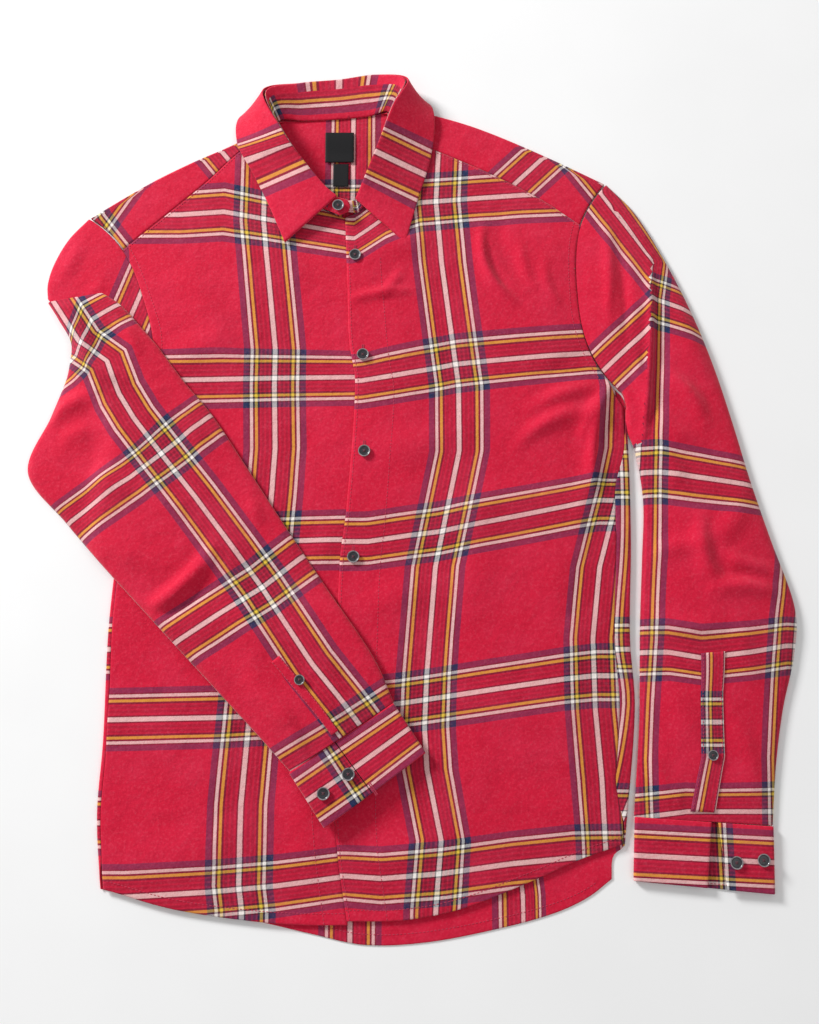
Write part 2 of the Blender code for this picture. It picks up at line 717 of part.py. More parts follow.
def make_sleeve_strip(name, rows, strip, support, wall=WALL):
    """A strip on a sleeve, made from the sleeve's points and moved out."""
    grid = []
    for row in strip:
        line = []
        for share in shares(3, row["from_outer"], row["to_outer"]):
            p = sleeve_point(rows, row["along"], share, support, 1.0)
            line.append(p + Vector((0, 0, 0.5 * WALL + REST_GAP + 0.5 * wall)))
        grid.append(line)
    upward = (grid[0][1] - grid[0][0]).cross(grid[1][0] - grid[0][0]).z > 0
    cloth(name, grid if upward else [line[::-1] for line in grid], wall)


def cuff_point(cuff, along, share, height):
    seam = Vector(cuff["seam_outer"]).lerp(Vector(cuff["seam_inner"]), share)
    hem = Vector(cuff["hem_outer"]).lerp(Vector(cuff["hem_inner"]), share)
    p = seam.lerp(hem, along)
    return Vector((p.x, p.y, height))


def make_cuff(name, cuff, flip):
    """A band that starts at one side of its slit and runs round to the other."""
    low, high = cuff["low"], cuff["low"] + 2 * CUFF_TURN
    width = (Vector(cuff["seam_outer"]) - Vector(cuff["seam_inner"])).length
    bend = (CUFF_TURN + 0.5 * CUFF_WALL) / width
    grid = []
    for along in shares(4, 0.5 * SEAM / 54, 1.0):
        slit = [cuff["slit_seam"][i] + (cuff["slit_hem"][i] - cuff["slit_seam"][i]) * along
                for i in (0, 1)]
        line = [cuff_point(cuff, along, s, high) for s in shares(4, slit[0], bend)]
        for angle in shares(5, 0.0, math.pi)[1:-1]:
            share = bend - (CUFF_TURN / width) * math.sin(angle)
            line.append(cuff_point(cuff, along, share,
                                   low + CUFF_TURN * (1 + math.cos(angle))))
        line += [cuff_point(cuff, along, s, low) for s in shares(6, bend, 1 - bend)]
        for angle in shares(5, 0.0, math.pi)[1:-1]:
            share = 1 - bend + (CUFF_TURN / width) * math.sin(angle)
            line.append(cuff_point(cuff, along, share,
                                   low + CUFF_TURN * (1 - math.cos(angle))))
        line += [cuff_point(cuff, along, s, high) for s in shares(4, 1 - bend, slit[1])]
        grid.append(line[::-1] if flip else line)
    cloth(name, grid, CUFF_WALL)


# ---------------------------------------------------------------- collar

def collar_section(place):
    """Neck seam, roll and leaf edge at a place along the collar's table."""
    i = min(int(place), len(COLLAR) - 2)
    part = place - i
    row = {key: COLLAR[i][key] + (COLLAR[i + 1][key] - COLLAR[i][key]) * part
           for key in COLLAR[0]}
    neck = Vector((row["neck_x"], row["neck_y"], row["neck_z"]))
    roll = Vector((row["roll_x"], row["roll_y"], row["roll_z"]))
    edge = Vector((row["edge_x"], row["edge_y"], row["edge_z"]))
    return neck, roll, edge, row["droop"]


def collar_places():
    steps = 2 * (len(COLLAR) - 1) + 1
    return shares(steps, 0.0, len(COLLAR) - 1)


def to_leaf(place):
    """Step from the middle of the folded collar to its leaf, at the roll."""
    neck, roll, edge, _ = collar_section(place)
    ahead = collar_section(min(place + 0.5, len(COLLAR) - 1))[1]
    behind = collar_section(max(place - 0.5, 0))[1]
    legs = (neck - roll).normalized() + (edge - roll).normalized()
    return (ahead - behind).cross(legs).normalized() * 0.5 * ROLL_GAP


def make_collar_stand():
    first = [Vector(RIGHT_TAB[:3]), Vector(RIGHT_TAB[3:])]
    last = [Vector(LEFT_TAB[:3]), Vector(LEFT_TAB[3:])]
    grid = [[first[0].lerp(first[1], t) for t in shares(4, 0.12, 0.88)]]
    for place in collar_places():
        neck, roll, _, _ = collar_section(place)
        apart = to_leaf(place)
        grid.append([neck.lerp(roll, t) - apart * t for t in shares(4, 0.0, 0.97)])
    grid.append([last[0].lerp(last[1], t) for t in shares(4, 0.12, 0.88)])
    cloth("collar_stand", grid, STIFF_WALL)


def make_collar_leaf():
    grid = []
    for place in collar_places():
        _, roll, edge, droop = collar_section(place)
        top = roll + to_leaf(place)
        line = []
        for t in shares(7):
            p = top.lerp(edge, t)
            p.z = edge.z + (top.z - edge.z) * (1 - t)**droop
            line.append(p)
        grid.append(line)
    cloth("collar_leaf", grid, STIFF_WALL)


# ---------------------------------------------------------------- labels and buttons

def make_label(name, label):
    level = Vector((0, 0, 0.5 * WALL + LABEL_GAP + 0.5 * LABEL_WALL))
    grid = []
    for y in shares(4, label["y"][0], label["y"][1]):
        grid.append([Vector((x, y, LOWER + neck_lift(x, y))) + level
                     for x in shares(3, label["x"][0], label["x"][1])])
    cloth(name, grid, LABEL_WALL, finish=LABEL_CLOTH)


def make_button(name, x, y, seat, radius=BUTTON_RADIUS):
    """A dished disc with a raised rim, turned about its own axis and lying on its seat."""
    scale = radius / BUTTON_RADIUS
    profile = ((0.80, 0.0), (1.0, 0.38), (1.0, 0.80), (0.90, 1.0), (0.68, 0.80))
    points = [Vector((x, y, seat))]
    for share, height in profile:
        for k in range(BUTTON_SIDES):
            angle = 2 * math.pi * k / BUTTON_SIDES
            points.append(Vector((x + radius * share * math.cos(angle),
                                  y + radius * share * math.sin(angle),
                                  seat + BUTTON_HEIGHT * scale * height)))
    points.append(Vector((x, y, seat + BUTTON_HEIGHT * scale * 0.72)))
    faces = []
    for k in range(BUTTON_SIDES):
        after = (k + 1) % BUTTON_SIDES
        faces.append((0, 1 + after, 1 + k))
        for ring in range(len(profile) - 1):
            a = 1 + ring * BUTTON_SIDES
            b = a + BUTTON_SIDES
            faces.append((a + k, a + after, b + after, b + k))
        top = 1 + (len(profile) - 1) * BUTTON_SIDES
        faces.append((top + k, top + after, len(points) - 1))
    make_object(name, points, faces, BUTTON_RESIN, smooth_angle=35)


def make_buttons():
    for number, row in enumerate(FRONT_BUTTONS, start=1):
        seat = front_height(row["x"], row["y"]) + 0.5 * WALL + REST_GAP
        make_button(f"front_button_{number}", row["x"], row["y"], seat)
    make_button("collar_button", -67, 291.5, RIGHT_TAB[2] + 0.5 * STIFF_WALL + 1.6)
    cuff_top = 2 * CUFF_TURN + 0.5 * CUFF_WALL + REST_GAP
    for number, (x, y) in enumerate(((276, -304), (299, -302)), start=1):
        make_button(f"left_cuff_button_{number}", x, y, LEFT_CUFF["low"] + cuff_top)
    for number, (x, y) in enumerate(((-52, -231), (-73, -247)), start=1):
        make_button(f"right_cuff_button_{number}", x, y, RIGHT_CUFF["low"] + cuff_top)
    strip = WALL * 1.5 + 2 * REST_GAP
    p = sleeve_point(LEFT_SLEEVE, 0.897, 0.475, on_table, 1.0)
    make_button("left_placket_button", p.x, p.y, p.z + strip, SMALL_BUTTON_RADIUS)
    p = sleeve_point(RIGHT_SLEEVE_LOWER, 0.88, 0.475, over_body, 1.0)
    make_button("right_placket_button", p.x, p.y, p.z + strip, SMALL_BUTTON_RADIUS)


# ---------------------------------------------------------------- the shirt

def make_shirt():
    make_back_panel()
    make_yoke()
    make_fronts()
    make_sleeve("left_sleeve", LEFT_SLEEVE, on_table, 19, flip=False)
    make_sleeve("right_sleeve_upper", RIGHT_SLEEVE_UPPER, on_table, 9, flip=True)
    make_sleeve("right_sleeve_lower", RIGHT_SLEEVE_LOWER, over_body, 19, flip=True)
    make_sleeve_strip("left_sleeve_placket", LEFT_SLEEVE, LEFT_PLACKET, on_table)
    make_sleeve_strip("right_sleeve_placket", RIGHT_SLEEVE_LOWER, RIGHT_PLACKET, over_body)
    make_cuff("left_cuff", LEFT_CUFF, flip=False)
    make_cuff("right_cuff", RIGHT_CUFF, flip=True)
    make_collar_stand()
    make_collar_leaf()
    make_label("neck_label", NECK_LABEL)
    make_label("size_label", SIZE_LABEL)
    make_buttons()


for old in list(bpy.data.objects):
    bpy.data.objects.remove(old, do_unlink=True)
make_shirt()
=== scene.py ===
# A plaid flannel shirt laid flat, front up, with one sleeve folded across it.
# Left and right are the wearer's. Sizes are in millimetres, x towards the wearer's left,
# y towards the collar, z up from the table; the middle of the layout is at "centre".
import math
import bmesh
import bpy
import numpy as np
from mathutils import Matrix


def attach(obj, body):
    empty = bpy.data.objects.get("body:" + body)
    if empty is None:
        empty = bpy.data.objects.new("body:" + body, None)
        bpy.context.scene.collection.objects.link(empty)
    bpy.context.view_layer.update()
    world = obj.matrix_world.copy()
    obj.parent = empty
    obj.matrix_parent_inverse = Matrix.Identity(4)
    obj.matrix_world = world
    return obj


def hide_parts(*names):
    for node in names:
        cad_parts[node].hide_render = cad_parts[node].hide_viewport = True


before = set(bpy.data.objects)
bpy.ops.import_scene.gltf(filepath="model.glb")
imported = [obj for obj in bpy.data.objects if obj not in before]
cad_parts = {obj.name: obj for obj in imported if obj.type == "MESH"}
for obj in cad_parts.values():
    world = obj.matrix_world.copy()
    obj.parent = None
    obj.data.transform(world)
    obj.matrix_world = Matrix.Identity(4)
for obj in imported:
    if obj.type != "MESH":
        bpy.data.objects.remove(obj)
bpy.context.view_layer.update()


def rows(names, *values):
    return dict(zip(names.split(), np.array(values, float).T))


def creaseRows(*values):
    return rows("x1 y1 x2 y2 wide high bow lean", *values)


cloth = {"wall": 1.2, "stiff": 1.5, "cuff": 1.8, "gap": 0.35, "seam": 0.6,
         "lower": 0.6, "upper": 3.4, "turn": 1.4, "pitch": 3.0, "repeat": 146.0, "crease": 2.1}
centre = np.array((-2.7, 30.9, 0.0))


def bent(t, start, end, leave, arrive):
    # a smooth run from start to end, with the slopes it leaves and arrives with
    return (start * (2 * t**3 - 3 * t**2 + 1) + leave * (t**3 - 2 * t**2 + t)
            + end * (3 * t**2 - 2 * t**3) + arrive * (t**3 - t**2))


def smoothLine(points, pieces=10):
    # the point at a share of a smooth line's length; shares come as an array
    points = np.array(points, float)
    gaps = np.linalg.norm(np.diff(points, axis=0), axis=1)
    chords = np.diff(points, axis=0) / gaps[:, None]
    slopes = (points[2:] - points[:-2]) / (gaps[:-1] + gaps[1:])[:, None]
    leave = np.vstack([chords[:1], slopes])
    arrive = np.vstack([slopes, chords[-1:]])
    line = []
    for i, gap in enumerate(gaps):
        for t in np.arange(pieces) / pieces:
            line.append(bent(t, points[i], points[i + 1], leave[i] * gap, arrive[i] * gap))
    line = np.array(line + [points[-1]])
    run = np.append(0, np.cumsum(np.linalg.norm(np.diff(line, axis=0), axis=1)))

    def at(share):
        goal = np.clip(share, 0, 1) * run[-1]
        return np.stack([np.interp(goal, run, column) for column in line.T], axis=-1)
    return at


def corners(table):
    return np.stack([table["x"], table["y"]], axis=-1)


def outline(table):
    return smoothLine(corners(table))


def byHeight(table):
    line = outline(table)(np.linspace(0, 1, 60))
    return lambda y: np.interp(y, line[:, 1], line[:, 0])


def joined(first, second, meet):
    def at(t):
        t = np.asarray(t, float)[..., None]
        return np.where(t < meet, first(t[..., 0] / meet), second((t[..., 0] - meet) / (1 - meet)))
    return at


def patch(bottom, top, left, right, s, t):
    # the surface spanned by four edges, on columns s and rows t
    s1, t1 = s[None, :, None], t[:, None, None]
    across = bottom(s)[None] * (1 - t1) + top(s)[None] * t1
    up = left(t)[:, None] * (1 - s1) + right(t)[:, None] * s1
    ends = [edge(np.array([k])) for edge in (bottom, top) for k in (0.0, 1.0)]
    low = ends[0] * (1 - s1) + ends[1] * s1
    high = ends[2] * (1 - s1) + ends[3] * s1
    return across + up - (low * (1 - t1) + high * t1)


def ease(value):
    value = np.clip(value, 0, 1)
    return value * value * (3 - 2 * value)


def steps(length, pitch, trimStart=0.3, trimEnd=0.3, edge=(0.5, 1.3)):
    # shares across a cloth, with two more beside each cut edge for its rounding
    inner = np.linspace(trimStart + edge[1], length - trimEnd - edge[1],
                        max(3, int(length / pitch)))
    first = [trimStart, trimStart + edge[0]]
    last = [length - trimEnd - edge[0], length - trimEnd]
    return np.concatenate([first, inner, last]) / length


def creaseHeight(x, y, table):
    # soft ridges (high above 0) and troughs (below 0) from one point to another, fading at
    # both ends; bow bends one sideways, lean makes one flank steeper
    total = np.zeros_like(x)
    for x1, y1, x2, y2, wide, high, bow, lean in zip(*table.values()):
        dx, dy = x2 - x1, y2 - y1
        length = math.hypot(dx, dy)
        along = ((x - x1) * dx + (y - y1) * dy) / length**2
        inside = np.clip(along, 0, 1)
        off = ((y - y1) * dx - (x - x1) * dy) / length - bow * 4 * inside * (1 - inside)
        past = np.clip(np.abs(along - 0.5) - 0.5, 0, None) * length
        fade = np.sin(math.pi * np.clip(inside, 0.04, 0.96)) ** 0.6 * np.exp(-(past / wide)**2)
        off = off / wide
        shape = np.exp(-off**2) - lean * off * np.exp(-off**2 * 0.7)
        total += high * fade * shape
    return total * cloth["crease"]


def ripple(x, y, high, seed):
    # the slight unevenness of cloth that was smoothed by hand
    total = np.zeros_like(x)
    for k in range(7):
        turn = seed + k * 2.4
        wave = 0.030 + 0.011 * k
        total += np.sin(wave * (x * math.cos(turn) + y * math.sin(turn)) + 1.7 * seed * k) / (1 + 0.7 * k)
    return high * total * 0.8


def buildMesh(name, points, faces, finish, uv=None):
    mesh = bpy.data.meshes.new(name)
    mesh.from_pydata(((points - centre) / 1000).tolist(), [], faces)
    mesh.update()
    mesh.shade_smooth()
    if uv is not None:
        mesh.uv_layers.new(name="grain").data.foreach_set("uv", uv.astype(np.float32).ravel())
    mesh.materials.append(finish)
    piece = bpy.data.objects.new(name, mesh)
    bpy.context.scene.collection.objects.link(piece)
    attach(piece, "root")
    return piece


def grow(flat, left=0.0, right=0.0, top=0.0):
    # push a piece's outermost points out, so that it meets what it is sewn to
    for line, beside, much in ((flat[:, 0], flat[:, 2], left), (flat[:, -1], flat[:, -3], right),
                               (flat[-1], flat[-3], top)):
        away = line - beside
        line += away / np.linalg.norm(away, axis=-1, keepdims=True) * much
    return flat


def normalsOf(grid, around=False):
    up = np.gradient(grid, axis=0)
    if around:
        across = np.roll(grid, -1, axis=1) - np.roll(grid, 1, axis=1)
    else:
        across = np.gradient(grid, axis=1)
    normal = np.cross(across, up)
    return normal / np.maximum(np.linalg.norm(normal, axis=2, keepdims=True), 1e-9)


def clothShell(name, grid, grain, wall, finish, around=False, slot="red_plaid_flannel", other=None):
    # a closed shell about a grid of points, thinner beside its cut edges; "other" is a second
    # grain and the faces that wear it
    normal = normalsOf(grid, around)
    count, across = grid.shape[:2]
    scale = np.ones((count, across))
    for k, share in enumerate((0.35, 0.85)):
        for line in (scale[k], scale[-1 - k]) if around else (scale[k], scale[-1 - k],
                                                               scale[:, k], scale[:, -1 - k]):
            np.minimum(line, share, out=line)
    half = normal * (wall / 2 * scale)[..., None]
    points = np.concatenate([(grid + half).reshape(-1, 3), (grid - half).reshape(-1, 3)])
    total = count * across
    index = np.arange(total).reshape(count, across)
    if around:
        index = np.hstack([index, index[:, :1]])
    place = np.arange(index.size).reshape(index.shape)

    def quads(index, under):
        a, b, c, d = index[:-1, :-1], index[:-1, 1:], index[1:, 1:], index[1:, :-1]
        top = np.stack([a, b, c, d], axis=-1).reshape(-1, 4)
        made = [top, top[:, ::-1] + under]
        edges = [(index[0, :-1], index[0, 1:], False), (index[-1, :-1], index[-1, 1:], True)]
        if not around:
            edges += [(index[:-1, 0], index[1:, 0], True), (index[:-1, -1], index[1:, -1], False)]
        for start, end, turned in edges:
            strip = np.stack([start + under, end + under, end, start], axis=-1)
            made.append(strip[:, ::-1] if turned else strip)
        return np.concatenate(made)
    uv = grain.reshape(-1, 2)[quads(place, 0)]
    if other is not None:
        worn = np.flatnonzero(np.concatenate([other[1].ravel()] * 2))
        uv[worn] = other[0].reshape(-1, 2)[quads(place, 0)[worn]]
    return buildMesh(name, points, quads(index, total).tolist(), finish, uv.reshape(-1, 2))


def addBead(points, faces, rings):
    # a closed bead through rings of points
    base, around = len(points), len(rings[0])
    points += [point for ring in rings for point in ring]
    for k in range(len(rings) - 1):
        for j in range(around):
            a, b = base + around * k + j, base + around * k + (j + 1) % around
            faces.append((a, b, b + around, a + around))
    faces.append(tuple(base + j for j in range(around - 1, -1, -1)))
    faces.append(tuple(base + around * (len(rings) - 1) + j for j in range(around)))


def threadLine(paths, length=2.3, space=0.9, radius=0.28, lift=0.1):
    # stitches along lines of points with normals; each is a short bead with pointed ends
    points, faces = [], []
    ring = [(math.cos(math.radians(a)), math.sin(math.radians(a))) for a in range(0, 360, 60)]
    for line, normal in paths:
        run = np.append(0, np.cumsum(np.linalg.norm(np.diff(line, axis=0), axis=1)))
        place = max(0.0, min(0.5, (run[-1] - length) / 2))
        while place + length <= run[-1]:
            ends = [np.array([np.interp(p, run, line[:, k]) for k in range(3)])
                    for p in (place, place + length)]
            up = np.array([np.interp(place, run, normal[:, k]) for k in range(3)])
            forward = (ends[1] - ends[0]) / max(np.linalg.norm(ends[1] - ends[0]), 1e-6)
            side = np.cross(up, forward)
            rings = []
            for share, size, rise in ((0, 0.45, -0.12), (0.25, 1, lift), (0.75, 1, lift), (1, 0.45, -0.12)):
                middle = ends[0] + (ends[1] - ends[0]) * share + up * rise
                rings.append([middle + (side * c + up * s * 0.8) * radius * size for c, s in ring])
            addBead(points, faces, rings)
            place += length + space
    return points, faces


def stitches(name, paths, finish, **sizes):
    points, faces = threadLine(paths, **sizes)
    return buildMesh(name, np.array(points), faces, finish)


def tint(red, green, blue):
    # a colour named by its screen values from 0 to 255
    linear = [((c / 255 + 0.055) / 1.055)**2.4 if c > 10 else c / 3294.6 for c in (red, green, blue)]
    return (*linear, 1.0)


class Signal:
    # a value inside a material, so that its maths can be written as maths
    def __init__(self, finish, socket):
        self.finish, self.socket = finish, socket

    def maths(self, kind, first, second, clamp=False):
        return self.finish.node("ShaderNodeMath", {"operation": kind, "use_clamp": clamp},
                                {0: first, 1: second})

    def __add__(self, other):
        return self.maths("ADD", self, other)

    def __sub__(self, other):
        return self.maths("SUBTRACT", self, other)

    def __rsub__(self, other):
        return self.maths("SUBTRACT", other, self)

    def __mul__(self, other):
        return self.maths("MULTIPLY", self, other)

    def __mod__(self, other):
        return self.maths("FLOORED_MODULO", self, other)

    def __abs__(self):
        return self.maths("ABSOLUTE", self, 0.0)

    def clamped(self):
        return self.maths("ADD", self, 0.0, clamp=True)

    def sine(self):
        return self.maths("SINE", self, 0.0)

    __radd__, __rmul__ = __add__, __mul__


class Finish:
    def __init__(self, name, **constants):
        self.material = bpy.data.materials.new(name)
        self.material.use_nodes = True
        self.tree = self.material.node_tree
        self.shader = self.tree.nodes["Principled BSDF"]
        for key, value in constants.items():
            self.shader.inputs[key.replace("_", " ")].default_value = value

    def put(self, value, socket):
        if isinstance(value, Signal):
            self.tree.links.new(value.socket, socket)
        else:
            socket.default_value = value

    def node(self, kind, settings, values, out=0):
        node = self.tree.nodes.new(kind)
        for key, value in settings.items():
            setattr(node, key, value)
        for place, value in values.items():
            self.put(value, node.inputs[place])
        return Signal(self, node.outputs[out])

    def mix(self, share, first, second):
        return self.node("ShaderNodeMix", {"data_type": "RGBA"}, {0: share, 6: first, 7: second}, 2)

    def noise(self, scale, detail=2.0, rough=0.5):
        place = self.node("ShaderNodeTexCoord", {}, {}, "Object")
        return self.node("ShaderNodeTexNoise", {}, {"Vector": place, "Scale": scale,
                                                    "Detail": detail, "Roughness": rough}, "Fac")

    def wear(self, colour=None, roughness=None, height=None):
        # height is in metres
        if colour is not None:
            self.put(colour, self.shader.inputs["Base Color"])
        if roughness is not None:
            self.put(roughness, self.shader.inputs["Roughness"])
        if height is not None:
            bump = self.node("ShaderNodeBump", {}, {"Strength": 1.0, "Distance": 1.0, "Height": height})
            self.put(bump, self.shader.inputs["Normal"])
        return self.material


# The check: each band is mirrored about its middle. "edge" is how far from the middle a
# stripe reaches, from the outermost to the middle one.
yarn = {"red": tint(210, 15, 55), "rose": tint(184, 18, 54), "wine": tint(132, 12, 42),
        "navy": tint(4, 52, 94), "white": tint(250, 246, 240), "black": tint(22, 8, 16),
        "yellow": tint(232, 200, 60)}
sett = ((26.6, "navy"), (22.0, "black"), (20.9, "white"), (18.3, "black"), (16.7, "yellow"),
        (14.3, "black"), (12.6, "rose"), (11.2, "wine"), (9.0, "rose"), (7.4, "wine"),
        (5.2, "rose"), (3.2, "black"), (2.0, "white"))
# how far a dark yarn shows through the other, outside the red lines of a band
depth = {"black": 0.3, "navy": 0.16}
redLines = {"from": 4.0, "to": 12.7, "sharp": 2.2}


def stripes(finish, along):
    # colour of the yarns that lie across "along", which is in millimetres, and where the
    # black and navy ones are
    repeat = cloth["repeat"]
    off = abs((along + repeat / 2) % repeat - repeat / 2)
    colour, dark = yarn["red"], 0.0
    inside = [((edge - off) * redLines["sharp"] + 0.5).clamped() for edge, _ in sett]
    for k, (edge, name) in enumerate(sett):
        colour = finish.mix(inside[k], colour, yarn[name])
        if name in depth and not redLines["from"] <= edge <= redLines["to"]:
            dark = dark + (inside[k] - (inside[k + 1] if k + 1 < len(sett) else 0.0)) * depth[name]
    return colour, dark


def flannel(name):
    finish = Finish(name, Roughness=0.92, Sheen_Weight=0.28, Sheen_Roughness=0.45,
                    Specular_IOR_Level=0.22)
    grain = finish.node("ShaderNodeUVMap", {"uv_map": "grain"}, {})
    across = finish.node("ShaderNodeSeparateXYZ", {}, {0: grain}, 0)
    down = finish.node("ShaderNodeSeparateXYZ", {}, {0: grain}, 1)
    fuzz = finish.noise(1500.0, 3.0, 0.65)
    warp, warpDark = stripes(finish, across + (fuzz - 0.5) * 0.9)
    weft, weftDark = stripes(finish, down + (fuzz - 0.5) * 0.9)
    twill = ((across + down) * (2 * math.pi / 1.05)).sine()
    threads = (across * (2 * math.pi / 0.52)).sine()
    over = (0.5 + twill * 0.24 + (fuzz - 0.5) * 0.5).clamped()
    colour = finish.mix(over, warp, weft)
    colour = finish.mix((warpDark + weftDark).clamped(), colour, tint(34, 22, 52))
    cloudy = finish.noise(26.0, 3.0, 0.6)
    nap = finish.noise(420.0, 4.0, 0.7)
    colour = finish.mix((cloudy - 0.42).clamped() * 0.5, colour, tint(232, 66, 104))
    colour = finish.mix((nap - 0.5).clamped() * 0.45, colour, tint(246, 140, 164))
    colour = finish.mix((0.48 - nap).clamped() * 0.9, colour, tint(120, 8, 34))
    rumple = finish.noise(42.0, 4.0, 0.6)
    height = (rumple - 0.5) * 0.0019 + (nap - 0.5) * 0.00022 + twill * 0.00003 + threads * 0.000008
    return finish.wear(colour, height=height)


def redThread(name, dark, pale):
    finish = Finish(name, Roughness=0.75, Sheen_Weight=0.2)
    strand = finish.noise(2600.0, 2.0)
    return finish.wear(finish.mix(strand, dark, pale), height=strand * 0.00008)


def blackSatin():
    finish = Finish("label_satin", Roughness=0.6, Specular_IOR_Level=0.25)
    place = finish.node("ShaderNodeTexCoord", {}, {}, "Object")
    across = finish.node("ShaderNodeSeparateXYZ", {}, {0: place}, 0)
    down = finish.node("ShaderNodeSeparateXYZ", {}, {0: place}, 1)
    weave = (across * 14000.0).sine() * 0.5 + (down * 9000.0).sine() * 0.5
    lint = finish.noise(900.0, 3.0)
    colour = finish.mix((weave * 0.3 + lint * 0.6).clamped(), tint(8, 8, 10), tint(26, 26, 30))
    return finish.wear(colour, height=weave * 0.00002 + lint * 0.00006)


def buttonResin(name, dark, pale, gloss):
    finish = Finish(name, Roughness=gloss, Coat_Weight=0.35, Coat_Roughness=0.12)
    swirl = finish.noise(260.0, 5.0, 0.7)
    scuff = finish.noise(1800.0, 2.0)
    colour = finish.mix(((swirl - 0.35) * 2.2).clamped(), dark, pale)
    return finish.wear(colour, roughness=gloss + scuff * 0.18, height=scuff * 0.00002)


def tableTop():
    finish = Finish("table_paint", Roughness=0.85, Specular_IOR_Level=0.2)
    return finish.wear(finish.mix(finish.noise(9.0), tint(246, 246, 246), tint(252, 252, 252)))


shirtCloth = flannel("plaid_flannel")
threadFinish = redThread("red_thread", tint(150, 14, 48), tint(216, 52, 92))
labelFinish = blackSatin()
buttonThread = redThread("button_thread", tint(52, 20, 30), tint(120, 60, 74))
resin = buttonResin("button_resin", tint(22, 22, 26), tint(58, 58, 66), 0.28)
rimResin = buttonResin("button_rim", tint(104, 98, 102), tint(172, 166, 168), 0.3)
print("materials made")


def bands(value, lines):
    # millimetres of check at a value, from the values at which the bands' middles lie
    total = np.zeros_like(value)
    far = 9   # the check carries on past the outermost lines
    for k in range(len(lines) - 1):
        part = (value - lines[k]) / (lines[k + 1] - lines[k])
        total += np.clip(part, -far if k == 0 else 0, far if k == len(lines) - 2 else 1)
    return total * cloth["repeat"]


def follow(line, by, places):
    # a line of (x, y) points gives x by y (by is 1) or y by x (by is 0)
    line = np.array(line, float)
    line = line[np.argsort(line[:, by])]
    return np.interp(places, line[:, by], line[:, 1 - by])


def checkOn(x, y, warps, wefts):
    u = bands(x, [follow(line, 1, y) for line in warps])
    v = bands(-y, [-follow(line, 0, x) for line in wefts])
    return np.stack([u, v], axis=-1)


def shifted(line, byX):
    return [(x + byX, y) for x, y in line]


# edges of the body's pieces
backHem = rows("x y",
    (-259, -325), (-200, -340), (-131, -351), (-80, -362), (-34, -371), (20, -369), (82, -358),
    (128, -346), (156, -333), (170, -318))
rightFrontHem = rows("x y",
    (-260, -328), (-200, -342), (-131, -352), (-86, -355), (-54, -355))
leftFrontHem = rows("x y",
    (-52, -352), (-5, -351), (43, -342), (102, -320), (144, -302), (170, -291))
rightSide = rows("x y",
    (-261, -326), (-267, -264), (-265, -204), (-265, -98), (-257, 0), (-246, 70), (-241, 104))
leftSide = rows("x y",
    (183, -290), (196, -175), (194, -114), (198, -30), (199, 40), (198, 98))
leftFrontEdge = rows("x y",
    (-52, -352), (-62, -287), (-64, -225), (-64, -150), (-61, -44), (-56, 0), (-49, 119), (-55, 160),
    (-57, 210), (-60, 283))
rightFrontEdge = rows("x y",
    (-53, -355), (-63, -287), (-65, -225), (-42, -150), (-28, -44), (-25, 0), (-20, 119), (-26, 210),
    (-32, 279))
rightYokeSeam = rows("x y",
    (-264, 250), (-195, 319), (-163, 352), (-131, 376))
leftYokeSeam = rows("x y",
    (159, 281), (124, 303), (75, 330), (21, 355), (-14, 371))
rightShoulder = rows("x y",
    (-303, 283), (-248, 319), (-210, 340), (-163, 363), (-126, 387))
leftShoulder = rows("x y",
    (187, 318), (125, 350), (68, 376), (26, 390), (-12, 399))
yokeBackSeam = rows("x y",
    (-262, 243), (-180, 276), (-60, 293), (60, 292), (156, 268))
rightArmhole = {"shoulder": (-303, 283), "underarm": (-243, 107), "bow": 26.5,
                "frontSeam": 0.22, "backSeam": 0.28}
leftArmhole = {"shoulder": (187, 318), "underarm": (200, 104), "bow": -38.0,
               "frontSeam": 0.19, "backSeam": 0.24}
collar = rows("neckX neckY neckZ rollX rollY rollZ edgeX edgeY edgeZ droop",
    (-66, 284, 10.6, -68, 301, 13.4, -117, 257, 7.6, 0.9),
    (-92, 299, 8, -81, 313, 14.6, -133, 295, 6.6, 0.9),
    (-114, 326, 6.2, -101, 338, 17, -149, 328, 6, 1.1),
    (-131, 357, 6.8, -119, 363, 23, -165, 360, 7.4, 1.1),
    (-126, 384, 7.4, -139, 408, 18, -161, 391, 1.1, 1.5),
    (-100, 386, 4.4, -106, 422, 9, -116, 381, 0.8, 3), (-68, 388, 4.4, -68, 427, 7, -68, 383, 0.8, 4),
    (-40, 391, 4.4, -32, 431, 9, -28, 389, 0.8, 3), (-20, 394, 7, -3, 421, 18, 13, 404, 1.1, 1.5),
    (-13, 374, 7.2, -16, 391, 23, 24, 386, 7.4, 1.1), (-18, 347, 6.2, -29, 357, 17, 20, 343, 6, 1.1),
    (-34, 308, 6.6, -43, 320, 14, 8, 301, 6.4, 1.1), (-49, 288, 7, -51, 300, 9.4, -4, 257, 7.2, 1))
body = {"sideMeet": 0.68, "bowPower": 2.8, "frontStep": 1.6, "frontPuff": 2.2,
        "rightTurn": 4.0, "leftTurn": 14.0, "leastTurn": 3.4,
        "neckRise": 1.9, "curvedSeam": 1.1, "rollGap": 2.1}

